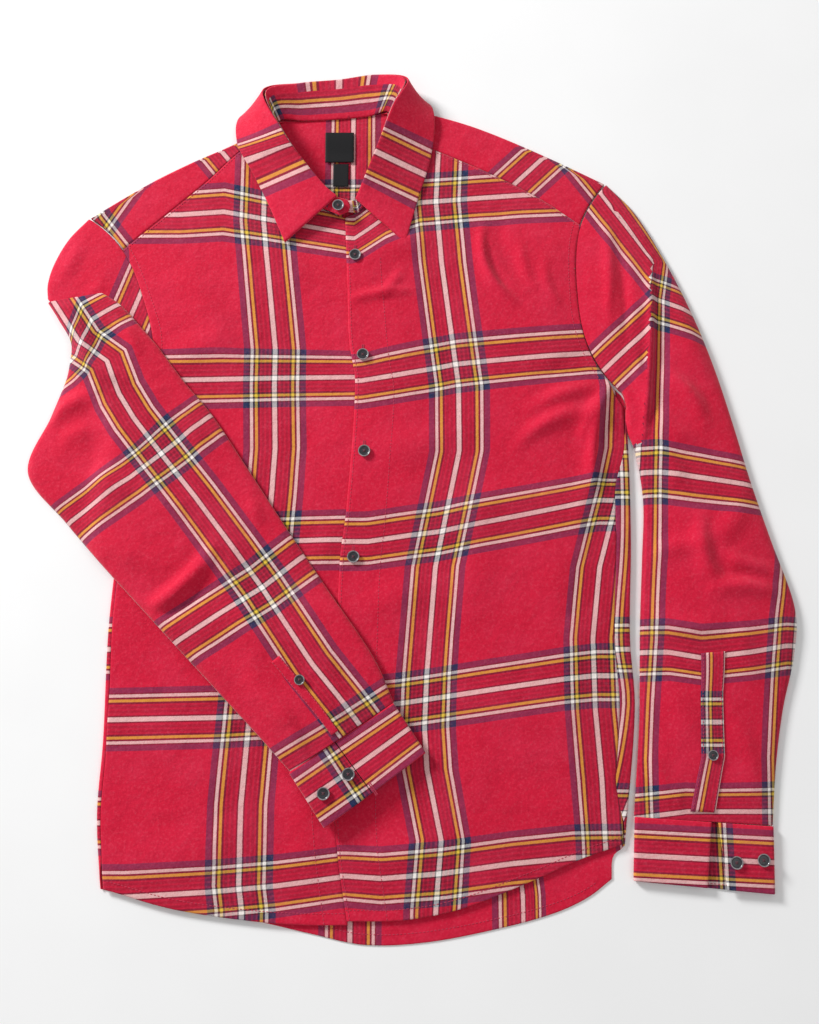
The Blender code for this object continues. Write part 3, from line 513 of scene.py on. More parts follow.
rightFrontChest = {
    "warp": [(-138, 281), (-124, 153), (-124, 117), (-122, 58), (-124, 18), (-140, -198), (-144, -257),
        (-144, -323), (-141, -343)],
    "wefts": [[(-217, 287), (-176, 290), (-60, 268), (-46, 262), (-20, 290)],
              [(-211, 123), (-124, 125), (-55, 126)],
              [(-250, -34), (-96, -27), (-58, -26)], [(-262, -185), (-164, -183), (-60, -178)],
              [(-239, -332), (-169, -328), (-112, -323), (-59, -316)]],
    "creases": creaseRows(
        (-228, 236, -170, 150, 17, 1.3, 10, 0.2), (-205, 300, -150, 240, 15, -0.9, -6, 0.3),
        (-150, 262, -92, 205, 12, 1.0, 6, -0.2), (-235, 130, -150, 168, 13, 0.9, 8, 0.4),
                    (-160, 96, -60, 122, 11, -0.8, 5, 0.2), (-120, -60, -60, -20, 14, 0.9, -6, 0),
                    (-250, -190, -150, -250, 20, 1.0, 10, 0), (-230, -300, -120, -270, 16, 0.8, -8, 0),
                    (-110, -190, -80, -330, 15, 0.8, 5, 0.2))}
leftFrontChest = {
    "warps": [[(30, 400), (25, 300), (30, 238), (40, 157), (45, 117), (45, 55), (23, -51), (15, -147),
        (13, -192), (15, -227), (27, -286), (22, -343)],
              [(188, 300), (194, 200), (203, 117), (199, 59), (188, 15), (180, -12), (169, -51),
               (161, -114), (161, -176), (165, -237), (167, -320)]],
    "wefts": [[(-70, 264), (-52, 262), (-38, 272), (-22, 284), (-2, 294), (10, 299), (68, 304),
        (107, 307), (160, 309)],
              [(-44, 122), (-9, 128), (42, 138), (96, 143), (165, 149)],
              [(-56, -28), (-37, -28), (2, -22), (27, -19), (135, 3), (169, 10)],
              [(-60, -176), (-9, -171), (39, -164), (134, -150), (162, -147)],
              [(-54, -315), (-24, -317), (27, -313), (86, -305), (139, -300)]],
    "creases": creaseRows(
        (70, 272, 98, 200, 4.5, 1.9, -11, 0.9), (84, 284, 122, 214, 9, -1.1, -12, 0.2),
        (106, 258, 122, 210, 5, 0.9, -6, 0.4), (128, 240, 140, 196, 5, 0.8, -5, 0.4),
                    (-66, 200, 4, 212, 4, 1.3, 3, 0.9), (-30, 208, -8, 230, 4, 1.1, -2, 0.6),
                    (-52, 236, 30, 262, 12, 1.0, 8, 0.3), (112, 98, 176, 119, 7, 1.7, 4, 0.7),
                    (96, 60, 150, 96, 6, 1.1, 4, 0.5),
                    (104, 72, 184, 96, 9, 1.4, 6, 0.4), (122, 128, 180, 142, 9, -1.2, 4, 0.3),
                    (188, 122, 168, 22, 5, 2.6, -8, 0.9), (178, 110, 158, 60, 5, 1.6, -4, 0.6),
                    (176, 60, 150, -60, 11, 1.3, -8, 0.3),
                    (196, 90, 188, -10, 7, -1.4, -4, 0.3), (150, 20, 142, -110, 13, -0.9, 6, 0),
                    (-40, 60, 60, 84, 16, 0.9, -7, 0.3), (20, -20, 120, 14, 15, 0.9, 8, 0),
                    (-56, -92, 40, -70, 14, 0.9, 6, 0.3), (60, -150, 150, -190, 18, 1.0, -9, 0.2),
                    (-10, -210, 70, -260, 18, 0.9, 8, 0), (90, -230, 165, -262, 15, -0.8, 6, 0),
                    (-40, -300, 40, -285, 13, 0.7, -5, 0), (54, 20, 40, -120, 20, 0.8, 10, 0))}
backCloth = {
    "warps": [[(-342, 400), (-342, -400)], [(-196, 400), (-196, -400)], [(-50, 400), (-50, -400)],
              [(60, 400), (60, 0), (96, -330)],
              [(187, 400), (187, -250), (200, -330)], [(333, 400), (333, -400)]],
    "wefts": [[(-300, 190), (300, 190)], [(-300, 34), (300, 34)], [(-300, -124), (300, -124)],
              [(-300, -272), (300, -262)]],
    "lift": {"least": 0.25, "crease": 0.8, "most": 0.9, "margin": 14, "fade": 20, "overHem": 30},
    "creases": creaseRows(
        (-180, 150, -60, 60, 22, 0.5, 12, 0), (40, 180, 120, 40, 20, 0.5, -10, 0),
        (-100, -80, 60, -140, 24, 0.5, 12, 0), (80, -200, 10, -320, 22, 0.5, 9, 0),
                    (-200, -180, -120, -300, 22, 0.5, -9, 0), (-40, 250, 60, 220, 20, 0.4, 8, 0))}

leftEdgeAt, leftSideAt = byHeight(leftFrontEdge), byHeight(leftSide)
rightSideAt = byHeight(rightSide)


def foldLine(table, before, after):
    # x of the fold down a side, carried on past both ends
    line = outline(table)(np.linspace(0, 1, 40))
    points = np.array(before + line.tolist() + after)
    return lambda y: np.interp(y, points[:, 1], points[:, 0])


leftFoldAt = foldLine(leftSide, [(207, -316)], [(225, 140)])
rightFoldAt = foldLine(rightSide, [], [(-278, 140)])


def neckLift(x, y):
    # the cloth rises a little towards the collar
    beside = ease((x + 155) / 20) * ease((22 - x) / 20)
    return body["neckRise"] * ease((y - 348) / 22) * beside


def leftFrontHeight(x, y, creased=True):
    edge = leftEdgeAt(y)
    over = body["frontStep"] * (1 - ease((x - edge - 42) / 40)) * ease((y + 285) / 60)
    over = over * ease((330 - y) / 40)
    side = ease((leftSideAt(y) - x - 18) / 50)
    puff = body["frontPuff"] * ease((x - edge - 60) / 70) * side * ease((y + 330) / 80)
    z = cloth["upper"] + over + puff * ease((300 - y) / 60) + neckLift(x, y)
    if creased:
        calm = ease((x - edge + 4) / 14) * ease((y + 352) / 22)
        z = z + (creaseHeight(x, y, leftFrontChest["creases"]) + ripple(x, y, 0.32, 1.3)) * calm
    return np.maximum(z, cloth["upper"] - 0.3)


def rightFrontHeight(x, y, creased=True):
    z = cloth["upper"] + neckLift(x, y)
    if creased:
        calm = ease((leftEdgeAt(y) - x + 2) / 18) * ease((y + 350) / 22)
        z = z + (creaseHeight(x, y, rightFrontChest["creases"]) + ripple(x, y, 0.3, 2.1)) * calm
    return np.maximum(z, cloth["upper"] - 0.25)


def armhole(hole, share):
    # points from the shoulder to the underarm
    shoulder, underarm = np.array(hole["shoulder"], float), np.array(hole["underarm"], float)
    run = underarm - shoulder
    side = np.array((-run[1], run[0])) / np.hypot(*run)
    share = np.asarray(share, float)[..., None]
    return shoulder + run * share + side * hole["bow"] * (1 - np.abs(2 * share - 1)**body["bowPower"])


def sideTurn(most, y):
    least = body["leastTurn"]
    return least + (most - least) * ease((y + 280) / 50) * ease((66 - y) / 50)


def sideThenArmhole(side, hole, most, inward):
    # a front's outer edge, up the side and then up the armhole
    line = outline(side)(np.linspace(0, 1, 40))
    line[:, 0] += inward * sideTurn(most, line[:, 1])
    seam = smoothLine(line)
    offset = seam(1.0) - armhole(hole, 1.0)

    def curve(t):
        share = 1 + (hole["frontSeam"] - 1) * t
        return armhole(hole, share) + offset * np.clip(1 - 8 * t, 0, None)[..., None]
    return joined(seam, curve, body["sideMeet"])


def neckPoints(first, last):
    return np.stack([collar["neckX"], collar["neckY"]], axis=-1)[first:last]


made = {}   # the grid and the normals of each piece, for its stitches


def sew(name, node, grid, grain, sheet, wall=cloth["wall"], **looks):
    # make a piece of the shirt's cloth
    made[name] = (grid, normalsOf(grid, looks.get("around", False)))
    piece = clothShell(name, grid, grain, wall, shirtCloth, **looks)
    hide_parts(node)


def layFront(name, node, hem, seam, left, right, height, grain, leftGrow, rightGrow, **sheet):
    s, t = steps(225.0, cloth["pitch"]), steps(640.0, cloth["pitch"])
    flat = grow(patch(hem, seam, left, right, s, t), leftGrow, rightGrow, 0.5)
    x, y = flat[..., 0], flat[..., 1]
    grid = np.dstack([flat, height(x, y)])
    sew(name, node, grid, grain(x, y), sheet)


def makeFronts():
    seam = outline(rightYokeSeam)
    edge = outline(rightFrontEdge)
    neck = smoothLine(np.vstack([edge(1.0), neckPoints(0, 4), seam(1.0)]))
    inner = joined(edge, neck, 0.80)
    outer = sideThenArmhole(rightSide, rightArmhole, body["rightTurn"], 1)
    hem = smoothLine(np.vstack([outer(0.0), corners(rightFrontHem)[1:]]))
    seam = smoothLine(np.vstack([outer(1.0), corners(rightYokeSeam)[1:]]))
    warp, wefts = rightFrontChest["warp"], rightFrontChest["wefts"]
    warps = [shifted(warp, apart) for apart in (-158, 0, 158)]
    layFront("right_front_cloth", "right_front", hem, seam, outer, inner, rightFrontHeight,
             lambda x, y: checkOn(x, y, warps, wefts), 0.9, 1.6,
             flat=(0.24, 0.79), held="laid", rests_on=["back_panel_cloth"], area=0.1427)

    corner = corners(leftYokeSeam)[-1]
    edge = outline(leftFrontEdge)
    neck = smoothLine(np.vstack([edge(1.0), neckPoints(10, 13)[::-1], corner]))
    inner = joined(edge, neck, 0.84)
    outer = sideThenArmhole(leftSide, leftArmhole, body["leftTurn"], -1)
    hem = smoothLine(np.vstack([corners(leftFrontHem)[:-1], outer(0.0)]))
    seam = smoothLine(np.vstack([corner, corners(leftYokeSeam)[-2:0:-1], outer(1.0)]))
    first, last = leftFrontChest["warps"]
    leftWarps, leftWefts = [shifted(first, -150), first, last, shifted(last, 150)], leftFrontChest["wefts"]
    layFront("left_front_cloth", "left_front", hem, seam, inner, outer, leftFrontHeight,
             lambda x, y: checkOn(x, y, leftWarps, leftWefts), 1.2, 0.9,
             flat=(0.26, 0.74), held="laid", rests_on=["right_front_cloth", "back_panel_cloth"], area=0.1534)


def stripLength(turn):
    # how far the back reaches over the front at a side, beyond the fold's own round
    return turn - cloth["turn"] - 0.5 * cloth["wall"] - 0.5 * cloth["seam"]


def unfoldedSide(side, outward, most):
    # a side of the back before it is turned over
    line = outline(side)(np.linspace(0, 1, 40))
    y = line[:, 1]
    reach = stripLength(sideTurn(most, y)) + math.pi * cloth["turn"] - cloth["turn"] - 0.5 * cloth["wall"]
    reach = reach * ease((y - side["y"][0]) / 30) * ease((side["y"][-1] - y) / 36)
    line[:, 0] += outward * reach
    return line


def wrapSides(x, y):
    # past a side the back turns over onto the upper layer
    turn, wall, low, high = cloth["turn"], cloth["wall"], cloth["lower"], cloth["upper"]
    points = np.dstack([x, y, np.full_like(x, low)])
    for foldAt, outward in ((leftFoldAt, 1), (rightFoldAt, -1)):
        start = foldAt(y) - outward * (turn + 0.5 * wall)
        past = (x - start) * outward
        angle = np.clip(past / turn, 0, math.pi)
        beyond = np.clip(past - math.pi * turn, 0, None)
        turned = np.dstack([start + outward * (turn * np.sin(angle) - beyond), y,
                            low + turn * (1 - np.cos(angle))])
        points = np.where((past > 0)[..., None], turned, points)
    return points


def makeBack():
    right = unfoldedSide(rightSide, -1, body["rightTurn"])
    left = unfoldedSide(leftSide, 1, body["leftTurn"])

    def upArmhole(hole, endOfSide, inset):
        def curve(t):
            point = armhole(hole, 1 + (hole["backSeam"] - 1) * t) + np.array((inset, 0.0))
            return point + (endOfSide - point) * np.clip(1 - 30 * t, 0, None)[..., None]
        return curve
    inset = 0.5 * cloth["seam"]
    rightEdge = joined(smoothLine(right), upArmhole(rightArmhole, right[-1], inset), body["sideMeet"])
    leftEdge = joined(smoothLine(np.vstack([[(171, -318), (173, -299)], left])),
                      upArmhole(leftArmhole, left[-1], -inset), body["sideMeet"])
    hem = smoothLine(np.vstack([right[:1], corners(backHem)[1:-1], leftEdge(0.0)]))
    seam = smoothLine(np.vstack([rightEdge(1.0), corners(yokeBackSeam)[1:-1], leftEdge(1.0)]))
    t = steps(640.0, 4.0)
    start, end = rightEdge(t)[:, 0], leftEdge(t)[:, 0]
    width = end - start
    columns = []
    for most, edge in ((body["rightTurn"], rightEdge), (body["leftTurn"], leftEdge)):
        strip = stripLength(sideTurn(most, edge(t)[:, 1]))
        arc = math.pi * cloth["turn"]
        columns.append([strip * k for k in (0.0, 0.12, 0.4, 0.7)]
                       + [strip + arc * k / 9 for k in range(10)] + [strip + arc + k for k in (4, 8)])
    first, last = np.array(columns[0]).T, width[:, None] - np.array(columns[1]).T[:, ::-1]
    middle = np.linspace(0, 1, 92)[1:-1][None]
    middle = first[:, -1:] + (last[:, :1] - first[:, -1:]) * middle
    reach = np.hstack([first, middle, last])
    share = reach / width[:, None]
    y = np.array([patch(hem, seam, rightEdge, leftEdge, share[i], t[i:i + 1])[0, :, 1]
                  for i in range(len(t))])
    x = start[:, None] + reach
    grid = wrapSides(x, y)
    lift = backCloth["lift"]
    inRight, inLeft = x - rightFoldAt(y) - lift["margin"], leftFoldAt(y) - lift["margin"] - x
    creased = np.clip(creaseHeight(x, y, backCloth["creases"]), 0, lift["crease"])
    raised = np.clip(creased + lift["least"] + ripple(x, y, 0.2, 4.2), 0, lift["most"])
    grid[..., 2] += np.where((inRight > 0) & (inLeft > 0), raised, 0) * ease(inRight / lift["fade"]) \
        * ease(inLeft / lift["fade"]) * ease((y + 300) / lift["overHem"])
    sew("back_panel_cloth", "back_panel", grid, checkOn(x, y, backCloth["warps"], backCloth["wefts"]),
        {"flat": (0.48, 0.67), "held": "laid", "area": 0.2851})


# the yoke lies folded over both shoulders
yokeCloth = {
    "columns": 60, "neckFrom": 0.36, "neckTo": 0.63,
    "right": {"warp": ((-175, 346), (0.785, 0.62)), "weft": ((-296, 290), (0.85, -0.52))},
    "left": {"warp": ((113, 331), (0.70, -0.72)), "weft": ((182, 326), (0.81, 0.59))},
    "neck": {"warp": ((-54, 300), (1.0, 0.0)), "weft": ((-54, 298), (0.0, 1.0))}}


def yokeCheck(part, points):
    # the yoke's check runs a different way on each shoulder and at the neck
    grain = []
    for family in ("warp", "weft"):
        place, normal = yokeCloth[part][family]
        grain.append((points[..., 0] - place[0]) * normal[0] + (points[..., 1] - place[1]) * normal[1])
    return np.stack(grain, axis=-1)


def makeYoke():
    low, high, turn, wall = cloth["lower"], cloth["upper"], cloth["turn"], cloth["wall"]
    ends = [armhole(hole, hole["backSeam"]) for hole in (rightArmhole, leftArmhole)]
    seam = smoothLine(np.vstack([ends[0], corners(yokeBackSeam)[1:-1], ends[1]]))
    rightShare, leftShare = yokeCloth["neckFrom"], yokeCloth["neckTo"]
    roundOff = turn + 0.5 * wall
    wing = np.concatenate([[body["curvedSeam"] / 190], np.linspace(0.012, 1.0, yokeCloth["columns"])])

    def wingRows(side, hole, frontTable, foldTable):
        # lines over one shoulder, from the front's seam round the fold to the back's
        front = smoothLine(np.vstack([armhole(hole, hole["frontSeam"]), corners(frontTable)[1:]]))
        fold = outline(foldTable)

        def back(s):
            s = np.asarray(s, float)
            return seam(rightShare * s if side == "right" else 1 - (1 - leftShare) * s)

        def frontEdge(t):
            return armhole(hole, hole["frontSeam"] * (1 - t))

        def backEdge(t):
            return armhole(hole, hole["backSeam"] * t)

        def neckFront(t):
            return front(1.0) + (fold(1.0) - front(1.0)) * np.asarray(t)[..., None]

        def neckBack(t):
            return fold(1.0) + (back(1.0) - fold(1.0)) * np.asarray(t)[..., None]
        lines = []
        for place in wing:
            one = np.array([place])
            foot, ridge, backFoot = front(place), fold(place), back(place)
            across = patch(fold, back, backEdge, neckBack, one, np.array([0.2]))[0, 0] - ridge
            across = across / np.hypot(*across)
            width = math.hypot(*(ridge - foot))
            t = np.linspace(0.5 * cloth["seam"] / width, 1.0, 19)[:-1]
            flat = patch(front, fold, frontEdge, neckFront, one, t * (1 - roundOff / width))[:, 0]
            row = [np.column_stack([flat, high + neckLift(flat[:, 0], flat[:, 1])])]
            seen = [flat]
            angle = np.linspace(0, math.pi, 10)
            flat = ridge + across * roundOff - across * turn * np.sin(angle)[:, None]
            row.append(np.column_stack([flat, low + turn * (1 + np.cos(angle))
                                        + neckLift(flat[:, 0], flat[:, 1])]))
            seen.append(ridge - across * (roundOff - turn * angle[:, None]))
            depth = math.hypot(*(backFoot - ridge))
            t = np.linspace(roundOff / depth, 1 - 0.5 * cloth["seam"] / depth, 16)[1:]
            flat = patch(fold, back, backEdge, neckBack, one, t)[:, 0]
            row.append(np.column_stack([flat, low + neckLift(flat[:, 0], flat[:, 1])]))
            seen.append(2 * ridge - flat)
            lines.append((np.vstack(row), yokeCheck(side, np.vstack(seen))))
        return lines
    rowsMade = wingRows("right", rightArmhole, rightYokeSeam, rightShoulder)
    left = wingRows("left", leftArmhole, leftYokeSeam, leftShoulder)[::-1]
    neck = smoothLine(neckPoints(4, 9))
    total = len(rowsMade[0][0])
    for share in np.concatenate([[0.02, 0.06], np.linspace(0.14, 0.86, 34), [0.94, 0.98]]):
        top = neck(share) - np.array((0, 0.5))
        foot = seam(rightShare + (leftShare - rightShare) * share) + np.array((0, 0.5 * cloth["seam"]))
        down = (foot - top) / math.hypot(*(foot - top))
        if 0.1 < share < 0.9:
            near = 15   # millimetres below the neck that have closer rows
            reach = np.concatenate([np.linspace(0, near, 28),
                                    np.linspace(near, math.hypot(*(foot - top)), 16)[1:]])
            flat = top + down * reach[:, None]
            z = np.full(len(reach), low)
        else:
            angle = np.linspace(0.0 if min(share, 1 - share) < 0.04 else 0.5 * math.pi, math.pi, 28)
            start = top + down * roundOff
            flat = np.vstack([start - down * turn * np.sin(angle)[:, None],
                              [start + (foot - start) * k for k in np.linspace(0, 1, 16)[1:]]])
            z = np.concatenate([low + turn * (1 + np.cos(angle)), np.full(15, low)])
        points = np.column_stack([flat, z + neckLift(flat[:, 0], flat[:, 1])])
        rowsMade.append((points[:total], yokeCheck("neck", flat[:total])))
    rowsMade += left
    grid = np.array([r[0] for r in rowsMade]).transpose(1, 0, 2)[::-1]
    grain = np.array([r[1] for r in rowsMade]).transpose(1, 0, 2)[::-1]
    sew("yoke_cloth", "yoke", grid, grain,
        {"flat": (0.55, 0.133), "held": "folded", "rests_on": ["back_panel_cloth"], "area": 0.0513})


makeBack()
makeYoke()
makeFronts()
print("body laid")


# sections down each sleeve, from the armhole to the cuff
leftSleeve = rows("outerX outerY innerX innerY bow rise",
    (187, 318, 201, 106, -38, 0), (214, 287, 200, 103, -25, 4), (241, 237, 199, 98, -13, 6),
    (263, 186, 198, 88, -5, 6), (280, 136, 199, 74, 0, 6), (294, 84, 206, 52, 0, 6),
    (307, 30, 211, 8, 0, 6), (322, -24, 208, -42, 0, 7), (340, -86, 204, -98, 0, 7),
    (337, -128, 202, -140, 0, 5), (324, -176, 200, -184, 0, 4), (315, -224, 196, -228, 0, 3),
    (309, -274, 192, -267, 0, 1.5))
rightSleeveUpper = rows("outerX outerY innerX innerY bow rise",
    (-303, 283, -244, 108, 26.5, 0), (-321, 262, -249, 107, 17, 0.4), (-333, 238, -255, 106, 9, 0.6),
    (-338, 218, -265, 112, 3, 0.6), (-337, 202, -277, 122, 0, 0.4))
rightSleeveLower = rows("outerX outerY innerX innerY bow rise",
    (-335, 197, -286, 206, 0, 1), (-324, 180, -268, 194, 0, 3), (-311, 156, -248, 172, 0, 4),
    (-314, 128, -234, 156, 0, 5), (-327, 88, -224, 143, 0, 6), (-345, 36, -206, 119, 0, 6),
    (-308, -10, -180, 88, 0, 6), (-268, -54, -149, 42, 0, 6), (-220, -104, -112, -14, 0, 5),
    (-172, -154, -74, -70, 0, 5), (-127, -201, -33, -130, 0, 4), (-101, -229, -14, -171, 0, 2))
underSleeveEdge = rows("y x",
    (-300, -266), (-98, -265), (0, -257), (70, -250), (105, -258), (118, -272), (140, -292),
    (165, -312), (200, -340))
leftPlacket = rows("along fromOuter toOuter",
    (0.735, 0.62, 0.467), (0.8, 0.6, 0.45), (0.9, 0.555, 0.385), (0.985, 0.605, 0.425))
rightPlacket = rows("along fromOuter toOuter",
    (0.845, 0.4, 0.47), (0.9, 0.41, 0.475), (0.985, 0.435, 0.5))
overBodyLift = {"lift": 5.4, "climb": 26.0, "buttons": 3.6, "from": -60.0, "to": -100.0}
foldTurn = math.radians(34.2)   # how far the folded sleeve lies round from upright


def sectionAt(table, share):
    last = len(next(iter(table.values()))) - 1
    place = np.clip(share, 0, 1) * last
    i = np.minimum(place.astype(int), last - 1)
    t = place - i
    found = {}
    for key, value in table.items():
        slope = np.gradient(value)
        found[key] = bent(t, value[i], value[i + 1], slope[i], slope[i + 1])
    return found


def onTable(x, y):
    return np.full_like(x, cloth["lower"])


def overBody(x, y):
    # what the folded sleeve lies on: the table, then the fronts and their buttons
    lay = overBodyLift
    edge = np.interp(y, underSleeveEdge["y"], underSleeveEdge["x"])
    climb = ease((x - edge + lay["climb"] + 12) / lay["climb"])
    buttons = lay["buttons"] * ease((lay["from"] - y) / (lay["from"] - lay["to"]))
    return cloth["lower"] + lay["lift"] * climb + buttons * ease((x + 265) / 60)


def sleevePlace(sleeve, share, across, level):
    # share runs down the sleeve and across over it, from its outer edge to its inner one
    section = sectionAt(sleeve["sections"], share)
    section = {key: value[:, None] for key, value in section.items()}
    outer = np.stack([section["outerX"], section["outerY"]], axis=-1)
    run = np.stack([section["innerX"], section["innerY"]], axis=-1) - outer
    side = np.stack([-run[..., 1], run[..., 0]], axis=-1)
    side = side / np.linalg.norm(side, axis=-1, keepdims=True)
    across = np.atleast_2d(across)
    bow = section["bow"] * (1 - np.abs(2 * across - 1)**body["bowPower"])
    flat = outer + run * across[..., None] + side * bow[..., None]
    x, y = flat[..., 0], flat[..., 1]
    puff = section["rise"] * np.sqrt(np.clip(4 * across * (1 - across), 0, 1))
    z = sleeve["support"](x, y) + level * (cloth["upper"] - cloth["lower"] + puff)
    near = ease(np.minimum(across, 1 - across) / 0.10) * ease(share[:, None] / 0.05) \
        * ease((1 - share[:, None]) / 0.03)
    crease = creaseHeight(x, y, sleeve["creases"]) + ripple(x, y, 0.35, sleeve["seed"])
    z = z + np.clip(2 * level - 1, 0, 1) * near * np.maximum(crease, -0.8 - 0.8 * puff)
    under = ripple(x, y, 0.3, sleeve["seed"] + 3) + 0.25
    z = z + np.clip(1 - 2 * level, 0, 1) * near * np.clip(under, 0, 0.7)
    return np.dstack([x, y, z])


def makeSleeve(name, node, sleeve, length, flip, **sheet):
    edge = np.array([0.0, 0.003, 0.009, 0.018, 0.030, 0.040])   # close columns round each fold
    over = np.concatenate([edge, np.linspace(0.05, 0.95, sleeve["across"]), 1 - edge[::-1]])
    near = np.clip(np.minimum(over, 1 - over) / 0.048, 0, 1)
    height = 0.5 + 0.5 * np.sqrt(1 - (1 - near)**2)
    across = np.concatenate([over[::-1], over[1:]])
    level = np.concatenate([1 - height[::-1], height[1:]])
    if flip:
        across, level = across[::-1], level[::-1]
    share = steps(length, cloth["pitch"])
    grid = sleevePlace(sleeve, share, across, level[None])
    x, y = grid[..., 0], grid[..., 1]
    under = level < 0.5
    under[0 if not flip else -1] = True
    outerEdge = sleevePlace(sleeve, share, np.zeros((1, 1)), np.full((1, 1), 0.5))

    def both(check):
        grain = check(x, y)
        start = check(outerEdge[..., 0], outerEdge[..., 1])
        grain[:, under, 0] = 2 * start[..., 0] - grain[:, under, 0]
        return grain
    grain = both(sleeve["check"])
    other = None
    if "pleat" in sleeve:
        # the cloth steps down where a fold of it is caught in the armhole
        line, lowest, farAway = sleeve["pleat"]["line"], sleeve["pleat"]["from"], 99.0
        pleat = follow(line, 1, y[:, :-1])
        onTop = (y[:, :-1] > lowest) & (level[None, :-1] >= 0.999)
        gap = np.where(onTop, np.abs(x[:, :-1] - pleat), farAway)
        for i, j in enumerate(gap.argmin(axis=1)):
            if gap[i, j] < cloth["pitch"]:
                grid[i, j, 0] = pleat[i, j]
        x = grid[..., 0]
        middle = (x[:-1, :-1] + x[1:, 1:]) / 2
        heights = (y[:-1, :-1] + y[1:, 1:]) / 2
        inside = (middle < follow(line, 1, heights)) & (heights > lowest) & (level[None, :-1] > 0.6)
        other = (both(sleeve["pleat"]["check"]), inside)
    sew(name, node, grid[:, :-1], grain, sheet, around=True, other=other)


def turnedCheck(warps, wefts):
    c, s = math.cos(foldTurn), math.sin(foldTurn)
    return lambda x, y: checkOn(x * c + y * s, y * c - x * s, warps, wefts)


leftWarp = [(181, 309), (208, 269), (227, 239), (219, 200), (215, 141), (208, 66), (204, -9), (199, -81),
        (197, -116), (192, -168), (188, -219), (188, -272)]
leftOuterWarp = [(340, 240), (352, 66), (352, -42), (341, -97), (334, -152), (327, -217), (325, -270)]
leftArm = {
    "clothName": "left_sleeve_cloth", "sections": leftSleeve, "support": onTable, "seed": 0.7, "across": 40,
    "check": lambda x, y: checkOn(x, y, [shifted(leftWarp, -140), leftWarp, leftOuterWarp,
                                         shifted(leftOuterWarp, 140)],
                                  [[(180, 345), (330, 345)], [(227, 201), (260, 188), (330, 160)],
                                   [(225, 35), (301, 24), (340, 18)],
                                   [(226, -127), (255, -132), (297, -127), (330, -121)],
                                   [(190, -268), (236, -262), (304, -262)]]),
    "pleat": {"line": [(160, 340), (181, 309), (208, 269), (227, 239), (225, 225), (224, 200), (216, 113),
                       (213, 88), (211, 60)], "from": 62,
              "check": lambda x, y: np.stack([
                  (x - 208) * 0.835 + (y - 269) * 0.55,
                  np.maximum(((y - 152) - 0.92 * (x - 200)) * -0.74, -73)], axis=-1)},
    "creases": creaseRows(
        (186, 276, 184, 176, 5, 1.2, 2, 0.3), (197, 260, 200, 160, 5, -1.2, 2, 0.2),
        (226, 240, 214, 70, 3.4, 1.6, 3, 1.1), (232, 200, 222, 60, 7, -1.1, 3, 0.3),
                    (206, 150, 214, 90, 6, 1.4, 3, 0.3), (238, 128, 270, 84, 8, 1.9, 4, 0.6),
                    (224, 96, 262, 62, 9, 1.1, -5, 0.4), (216, 70, 246, 20, 9, 1.4, 5, 0.3),
                    (256, 210, 274, 120, 13, 1.2, -6, 0.2), (262, -8, 274, -66, 8, 2.3, -6, 0.7),
                    (270, -68, 322, -72, 7, 2.2, 4, 0.7), (280, -38, 320, -54, 7, 1.9, -3, 0.6),
                    (284, -54, 316, -64, 6, -1.4, 0, 0), (214, -40, 262, -30, 9, 1.3, 4, 0.4),
                    (212, -90, 268, -104, 10, 1.3, -5, 0.4), (300, 10, 270, -30, 10, 1.2, 5, 0.3),
                    (292, -100, 306, -160, 11, 1.1, -5, 0.2), (218, -150, 246, -210, 12, 1.0, 6, 0.2),
                    (280, -180, 298, -250, 9, 1.0, 4, 0.3), (204, -206, 224, -262, 7, 1.1, 3, 0.3),
                    (228, -236, 232, -270, 5, 0.9, 0, 0.2), (240, 60, 290, 40, 12, -0.8, 6, 0.2))}
rightWarp = [(-162, 330), (-162, 300), (-151, 269), (-158, 236), (-159, 209), (-156, 166), (-152, 116),
        (-149, 60), (-147, 15), (-147, -66), (-143, -111), (-141, -150)]
rightArm = {
    "clothName": "right_sleeve_folded_cloth", "sections": rightSleeveLower, "support": overBody,
    "seed": 1.9, "across": 42,
    "check": turnedCheck([shifted(rightWarp, -146), rightWarp, shifted(rightWarp, 146)],
                         [[(-172, 290), (-142, 312)],
                          [(-260, 162), (-189, 164), (-137, 169), (-100, 174)],
                          [(-234, 16), (-179, 15), (-146, 14), (-100, 18)],
                          [(-214, -133), (-173, -136), (-104, -139)]]),
    "creases": creaseRows(
        (-232, -90, -176, -36, 7, 2.7, -5, 0.9), (-222, -98, -180, -66, 7, -1.6, -3, 0.2),
        (-330, 84, -288, 108, 8, 1.8, 4, 0.5), (-318, 60, -276, 74, 9, 1.1, 5, 0.3),
                    (-142, 10, -130, -10, 6, 1.4, 0, 0.4), (-300, 150, -262, 120, 8, 1.5, -4, 0.5),
                    (-312, 178, -292, 138, 7, 1.4, 4, 0.4), (-268, 176, -246, 140, 7, 1.2, 3, 0.3),
                    (-250, 120, -214, 76, 10, 1.2, 6, 0.2), (-290, 30, -250, 10, 11, 1.3, 5, 0.3),
                    (-240, 30, -190, 0, 12, 1.0, -7, 0.2), (-210, 90, -180, 40, 9, 1.1, 4, 0.3),
                    (-180, -20, -150, -60, 11, 1.2, 6, 0.3), (-160, -100, -120, -130, 12, 1.2, 5, 0.3),
                    (-140, -140, -96, -190, 9, 1.2, -4, 0.3), (-118, -170, -90, -212, 6, 1.1, 3, 0.3),
                    (-100, -110, -60, -150, 9, 1.1, 5, 0.3), (-82, -150, -48, -180, 6, 1.0, -3, 0.3),
                    (-270, -20, -230, -50, 9, 1.1, -4, 0.2), (-200, -130, -160, -150, 9, 1.0, 4, 0.2))}
capCheck = {"place": (-254, 199), "normal": (0.94, -0.33)}
